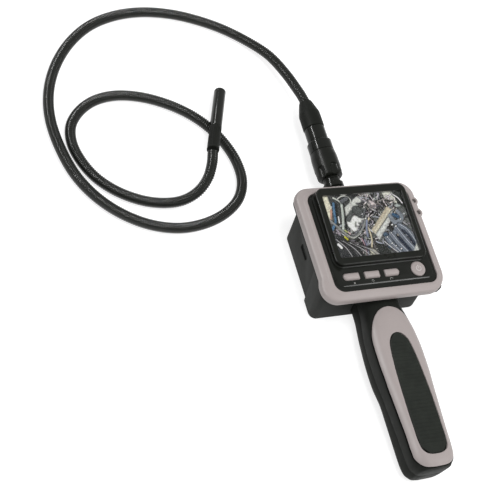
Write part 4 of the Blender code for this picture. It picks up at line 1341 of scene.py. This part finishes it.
def make_buttons():
    under = PANEL_LOW_Z - GAP
    for name, (x0, x1) in PILLS.items():
        foot = pill_outline(x0 - 0.9, x1 + 0.9, PILL_HALF_H + 1.2)
        rings = [flat_ring(foot, under - 1.0), flat_ring(foot, under)]
        rings.append(flat_ring(pill_outline(x0, x1, PILL_HALF_H), under))
        for inset, z in PILL_CROWN:
            shrunk = pill_outline(x0 + inset, x1 - inset, PILL_HALF_H - inset)
            rings.append(flat_ring(shrunk, z))
        cap = loft(f"{name}_cap", rings, "light", sharp=50)
        place(cap, name, name, slot="light_plastic")
    profile = [
        (under - 1.0, POWER_R + 1.2),
        (under, POWER_R + 1.2),
        (under, POWER_R),
        (46.2, POWER_R),
        (46.65, POWER_R - 0.1),
        (47.0, POWER_R - 0.5),
        (47.2, POWER_R - 1.1),
        (47.3, POWER_R - 2.0),
        (47.3, 3.15),
        (47.12, 3.0),
        (47.12, 2.75),
        (47.3, 2.6),
        (47.3, 0.4),
    ]
    power = loft("button_power_cap", turned(profile, (*POWER_XY, 0), UP, 64), "light", sharp=50)
    place(power, "button_power", "button_power", slot="light_plastic")
    make_icons()


def ribbon(points, width, z, thick=0.12):
    """A flat stroke along the points, as one closed ring of rings for several()."""
    path = [Vector(p) for p in points]
    left, right = [], []
    for i, p in enumerate(path):
        before = path[max(i - 1, 0)]
        after = path[min(i + 1, len(path) - 1)]
        along = (after - before).normalized()
        normal = Vector((-along.y, along.x)) * width / 2
        left.append(tuple(p + normal))
        right.append(tuple(p - normal))
    outline = right + left[::-1]
    return [flat_ring(outline, z), flat_ring(outline, z + thick)]


def arc(cx, cy, r, a0, a1, steps=16):
    result = []
    for k in range(steps + 1):
        a = math.radians(a0 + (a1 - a0) * k / steps)
        result.append((cx + r * math.cos(a), cy + r * math.sin(a)))
    return result


def make_icons():
    z = PANEL_TOP_Z - 0.02
    ring = turned([(0.0, 0.7), (0.12, 0.7)], (-28.2, ICON_Y, z), UP, 24)
    up = [
        ribbon(arc(-12.2, ICON_Y + 0.4, 0.85, -50, 220), 0.3, z),
        ribbon([(-12.3, ICON_Y - 0.3), (-11.9, ICON_Y - 1.1)], 0.4, z),
    ]
    back = [ribbon(arc(4.0, ICON_Y + 0.2, 1.1, -10, 215), 0.35, z)]
    icons = several("panel_icons", [ring] + up + back, "dim")
    place(icons, "handset")
    cx, cy = POWER_XY
    symbol = [ribbon(arc(cx, cy, 2.1, 130, 410, 28), 0.5, 47.29, 0.1)]
    symbol.append(ribbon([(cx, cy + 0.2), (cx, cy + 2.8)], 0.5, 47.29, 0.1))
    mark = several("power_symbol", symbol, "white")
    place(mark, "button_power")


# ---------------------------------------------------------------- gooseneck


def make_connector():
    socket = eased(
        [
            (43.0, 2.6),
            (43.0, 9.5),
            (45.6, 9.5),
            (45.6, 7.0),
            (77.2, 7.0, 0.2),
            (77.9, 8.4, 0.3),
            (81.6, 8.5, 0.4),
            (82.4, 7.0, 0.3),
            (84.0, 7.0, 0.2),
        ],
        0.2,
    )
    for k in range(8):
        y = 84.4 + 1.4 * k
        socket += [(y, 7.0), (y + 0.35, 6.55), (y + 0.7, 6.55), (y + 1.05, 7.0)]
    socket += [(95.7, 7.0), (96.0, 6.7), (96.0, 4.7), (66.0, 4.7), (66.0, 2.6)]
    neck = loft("neck_socket_fine", on_neck(socket, 64), "gloss", closed=True)
    place(neck, "handset", "neck_socket", slot="black_plastic")

    ring = eased(
        [
            (87.2, 7.5),
            (87.2, 8.4, 0.3),
            (88.2, 10.0, 0.8),
            (90.4, 10.9, 0.8),
            (97.0, 11.0, 0.5),
            (106.0, 10.9, 0.8),
            (111.8, 10.3, 0.4),
            (111.8, 7.5),
        ],
        0.2,
    )
    nut = loft("lock_ring_fine", on_neck(ring, 120), "satin", closed=True)
    grips = []
    for i in range(GRIP_COUNT):
        a = 2 * math.pi * (i + 0.5) / GRIP_COUNT
        origin = (GRIP_AXIS_R * math.cos(a), 84.0, NECK_Z + GRIP_AXIS_R * math.sin(a))
        depths = ((0.0, 0.0), (11.0, 0.0), (12.2, 0.5), (13.0, 1.5), (13.4, 3.0))
        shape = [(distance, GRIP_R - less) for distance, less in depths]
        grips.append(turned(shape, origin, (0, 1, 0), 40))
    carve(nut, several("grip_guide", grips))
    soften(nut, 0.25, 3, 35)
    place(nut, "lock_ring", "lock_ring", slot="black_plastic")

    collar = eased([(112.1, 9.2), (112.1, 10.2, 0.4), (121.2, 10.3, 0.7), (122.0, 9.0)], 0.3, 5)
    collar = loft("collar_fine", on_neck(collar), "gloss")
    place(collar, "gooseneck", "connector_collar", slot="black_plastic")
    sleeve = eased([(122.3, 8.0), (122.3, 8.6), (134.8, 8.7, 0.3), (135.1, 8.2)], 0.2)
    sleeve = loft("sleeve_fine", on_neck(sleeve), "gloss")
    place(sleeve, "gooseneck", "connector_sleeve", slot="black_plastic")
    relief = eased(
        [
            (135.4, 7.5),
            (135.4, 8.5, 0.2),
            (136.0, 9.0, 0.3),
            (149.6, 8.9, 1.5),
            (152.0, 8.2, 1.5),
            (160.6, 5.7, 0.4),
            (161.5, 5.3),
        ],
        0.3,
        6,
    )
    strain = loft("strain_relief_fine", on_neck(relief), "black")
    place(strain, "gooseneck", "strain_relief", slot="rubber")


def even_route(step):
    fine = np.array(catmull(ROUTE, 20))
    along = np.concatenate([[0.0], np.cumsum(np.linalg.norm(np.diff(fine, axis=0), axis=1))])
    wanted = np.linspace(0.0, along[-1], int(along[-1] / step) + 1)
    return np.stack([np.interp(wanted, along, fine[:, k]) for k in range(3)], axis=1), along[-1]


def make_tube():
    """The gooseneck: a wound coil under a thin sheath, so one long spiral groove runs round it."""
    step = TUBE_PITCH / 6
    path, length = even_route(step)
    verts = []
    side = Vector((1, 0, 0))
    for i, p in enumerate(path):
        along = Vector(path[min(i + 1, len(path) - 1)] - path[max(i - 1, 0)]).normalized()
        side = (side - along * side.dot(along)).normalized()
        other = along.cross(side)
        for k in range(TUBE_SIDES):
            a = 2 * math.pi * k / TUBE_SIDES
            phase = i * step / TUBE_PITCH - k / TUBE_SIDES
            groove = abs(math.cos(math.pi * phase)) ** 3
            radius = TUBE_R + 0.08 - TUBE_GROOVE * groove
            verts.append(tuple(Vector(p) + (side * math.cos(a) + other * math.sin(a)) * radius))
    faces = ring_faces(len(path), TUBE_SIDES, False)
    tube = add_mesh("gooseneck", verts, faces, "tube", 80)
    place(tube, "gooseneck", "gooseneck_tube", slot="gooseneck_sheath")
    return tube, path, length


def make_tip():
    start, joint, end = Vector(TIP_START), Vector(TIP_JOINT), Vector(TIP_END)
    along = (end - start).normalized()
    neck = (joint - start).length
    length = (end - start).length
    profile = eased(
        [
            (0.5, 4.3),
            (0.5, 4.9, 0.3),
            (1.4, TIP_R + 0.1, 0.3),
            (2.2, TIP_R, 0.3),
            (neck - 0.2, TIP_R, 0.2),
            (neck - 0.2, 4.4),
        ],
        0.3,
    )
    ferrule = loft("ferrule_fine", turned(profile, start, along, 64), "black")
    side = Vector(UP).cross(along).normalized()
    other = along.cross(side)
    flutes = []
    for i in range(16):
        a = 2 * math.pi * i / 16
        origin = start + along * 3.0 + (side * math.cos(a) + other * math.sin(a)) * (TIP_R + 0.35)
        flute = [(0.0, 0.1), (1.0, 0.6), (neck - 5.5, 0.6), (neck - 4.5, 0.1)]
        flutes.append(turned(flute, origin, along, 10))
    carve(ferrule, several("ferrule_flute_guide", flutes))
    place(ferrule, "gooseneck", "camera_ferrule", slot="black_plastic")

    head = eased(
        [
            (neck + 0.1, 1.0),
            (neck + 0.1, TIP_R - 0.4, 0.2),
            (neck + 0.5, TIP_R, 0.3),
            (length - 3.2, TIP_R, 0.2),
            (length - 3.0, TIP_R - 0.15, 0.1),
            (length - 2.7, TIP_R - 0.15, 0.1),
            (length - 2.5, TIP_R, 0.2),
            (length - 0.2, TIP_R, 0.5),
            (length, TIP_R - 0.7, 0.2),
            (length, 3.9, 0.2),
            (length - 2.2, 3.9),
            (length - 2.2, 1.0),
        ],
        0.2,
    )
    camera = loft("camera_head_fine", turned(head, start, along, 64), "gloss", closed=True)
    place(camera, "gooseneck", "camera_head", slot="gloss_black")
    domed = ((1.9, 1.7), (1.0, 1.7), (0.8, 1.4), (0.6, 0.8), (0.55, 0.05))
    bulge = [(length - back, radius) for back, radius in domed]
    lens = loft("camera_lens_fine", turned(bulge, start, along, 32), "clear", sharp=60)
    place(lens, "gooseneck", "camera_lens", slot="clear_glass")
    lamps = []
    for i in range(4):
        a = math.pi / 4 + i * math.pi / 2
        origin = start + (side * math.cos(a) + other * math.sin(a)) * 2.8
        dome = [(length - 1.9, 0.75), (length - 1.3, 0.75), (length - 1.05, 0.6), (length - 0.9, 0.1)]
        lamp = loft(f"camera_lamp_{i + 1}", turned(dome, origin, along, 20), "led", sharp=60)
        place(lamp, "gooseneck", f"camera_led_{i + 1}", slot="led_resin")
        lamps.append(lamp)
    return [ferrule, camera, lens] + lamps


# ---------------------------------------------------------------- scene


def dress_frame():
    """The CAD nodes that still show get the same materials as the fine pieces."""
    slots = {row["node"]: row["material_slot"] for row in frame["record"]["subparts"]}
    for name, obj in frame["nodes"].items():
        look = MATS[SLOT_LOOK[slots[name]]]
        for material_slot in obj.material_slots:
            material_slot.material = look
        if not obj.material_slots:
            obj.data.materials.append(look)


def make_floor():
    size = 3000.0
    rings = block(-size, size, -size, size, -2.0, -0.05)
    n = Nodes("studio_floor")
    n.link(n.ramp(n.noise(400.0, 2.0), [(0.3, 0.38), (0.7, 0.40)]), n.shader.inputs["Base Color"])
    n.shader.inputs["Roughness"].default_value = 0.9
    n.shader.inputs["Specular IOR Level"].default_value = 0.0
    n.shader.inputs["Emission Color"].default_value = (1.0, 1.0, 1.0, 1.0)
    n.shader.inputs["Emission Strength"].default_value = 0.76
    MATS["floor"] = n.mat
    loft("studio_floor", rings, "floor")


def area_light(name, at, aim, size, power, size_y=None, sheen=True, wash=True):
    """A studio lamp; sheen is off where gloss doesn't show it, wash where only gloss does."""
    data = bpy.data.lights.new(name, "AREA")
    data.energy = power
    data.shape = "RECTANGLE" if size_y else "SQUARE"
    data.size = size
    if size_y:
        data.size_y = size_y
    obj = bpy.data.objects.new(name, data)
    obj.location = at
    obj.rotation_mode = "QUATERNION"
    obj.rotation_quaternion = (Vector(aim) - Vector(at)).to_track_quat("-Z", "Y")
    obj.visible_glossy = sheen
    obj.visible_diffuse = wash
    bpy.context.scene.collection.objects.link(obj)


def make_studio():
    world = bpy.data.worlds.new("studio")
    world.use_nodes = True
    back = world.node_tree.nodes["Background"]
    back.inputs["Color"].default_value = (1.0, 1.0, 1.0, 1.0)
    back.inputs["Strength"].default_value = 0.62
    bpy.context.scene.world = world
    bpy.context.scene.view_settings.view_transform = "Standard"
    centre = (-0.06, 0.05, 0.0)
    area_light("key", (0.05, -0.1, 1.6), centre, 0.9, 20.0, sheen=False)
    area_light("strip", (-0.85, 0.6, 0.65), (0.0, 0.6, 0.0), 1.6, 17.0, 0.04, wash=False)
    area_light("tip strip", (-0.23, 1.53, 0.57), (-0.08, 0.15, 0.0), 0.05, 1.6, 0.25, wash=False)
    area_light("fill", (0.9, -0.9, 1.2), centre, 0.4, 6.0)


def make_camera():
    data = bpy.data.cameras.new("camera")
    data.lens = CAMERA_LENS
    data.sensor_width = SENSOR
    data.clip_start = 0.01
    data.clip_end = 20.0
    camera = bpy.data.objects.new("camera", data)
    at, aim = Vector(CAMERA_AT) * MM, Vector(CAMERA_AIM) * MM
    camera.location = at
    camera.rotation_mode = "QUATERNION"
    level = (aim - at).to_track_quat("-Z", "Y")
    camera.rotation_quaternion = level @ Quaternion(UP, math.radians(CAMERA_ROLL))
    bpy.context.scene.collection.objects.link(camera)
    bpy.context.scene.camera = camera


def main():
    make_camera()
    dress_frame()
    tube, path, length = make_tube()
    tip = make_tip()
    make_connector()
    make_handle()
    make_case()
    make_screws()
    make_bezel()
    make_panel()
    make_screen()
    make_buttons()
    make_floor()
    make_studio()


main()
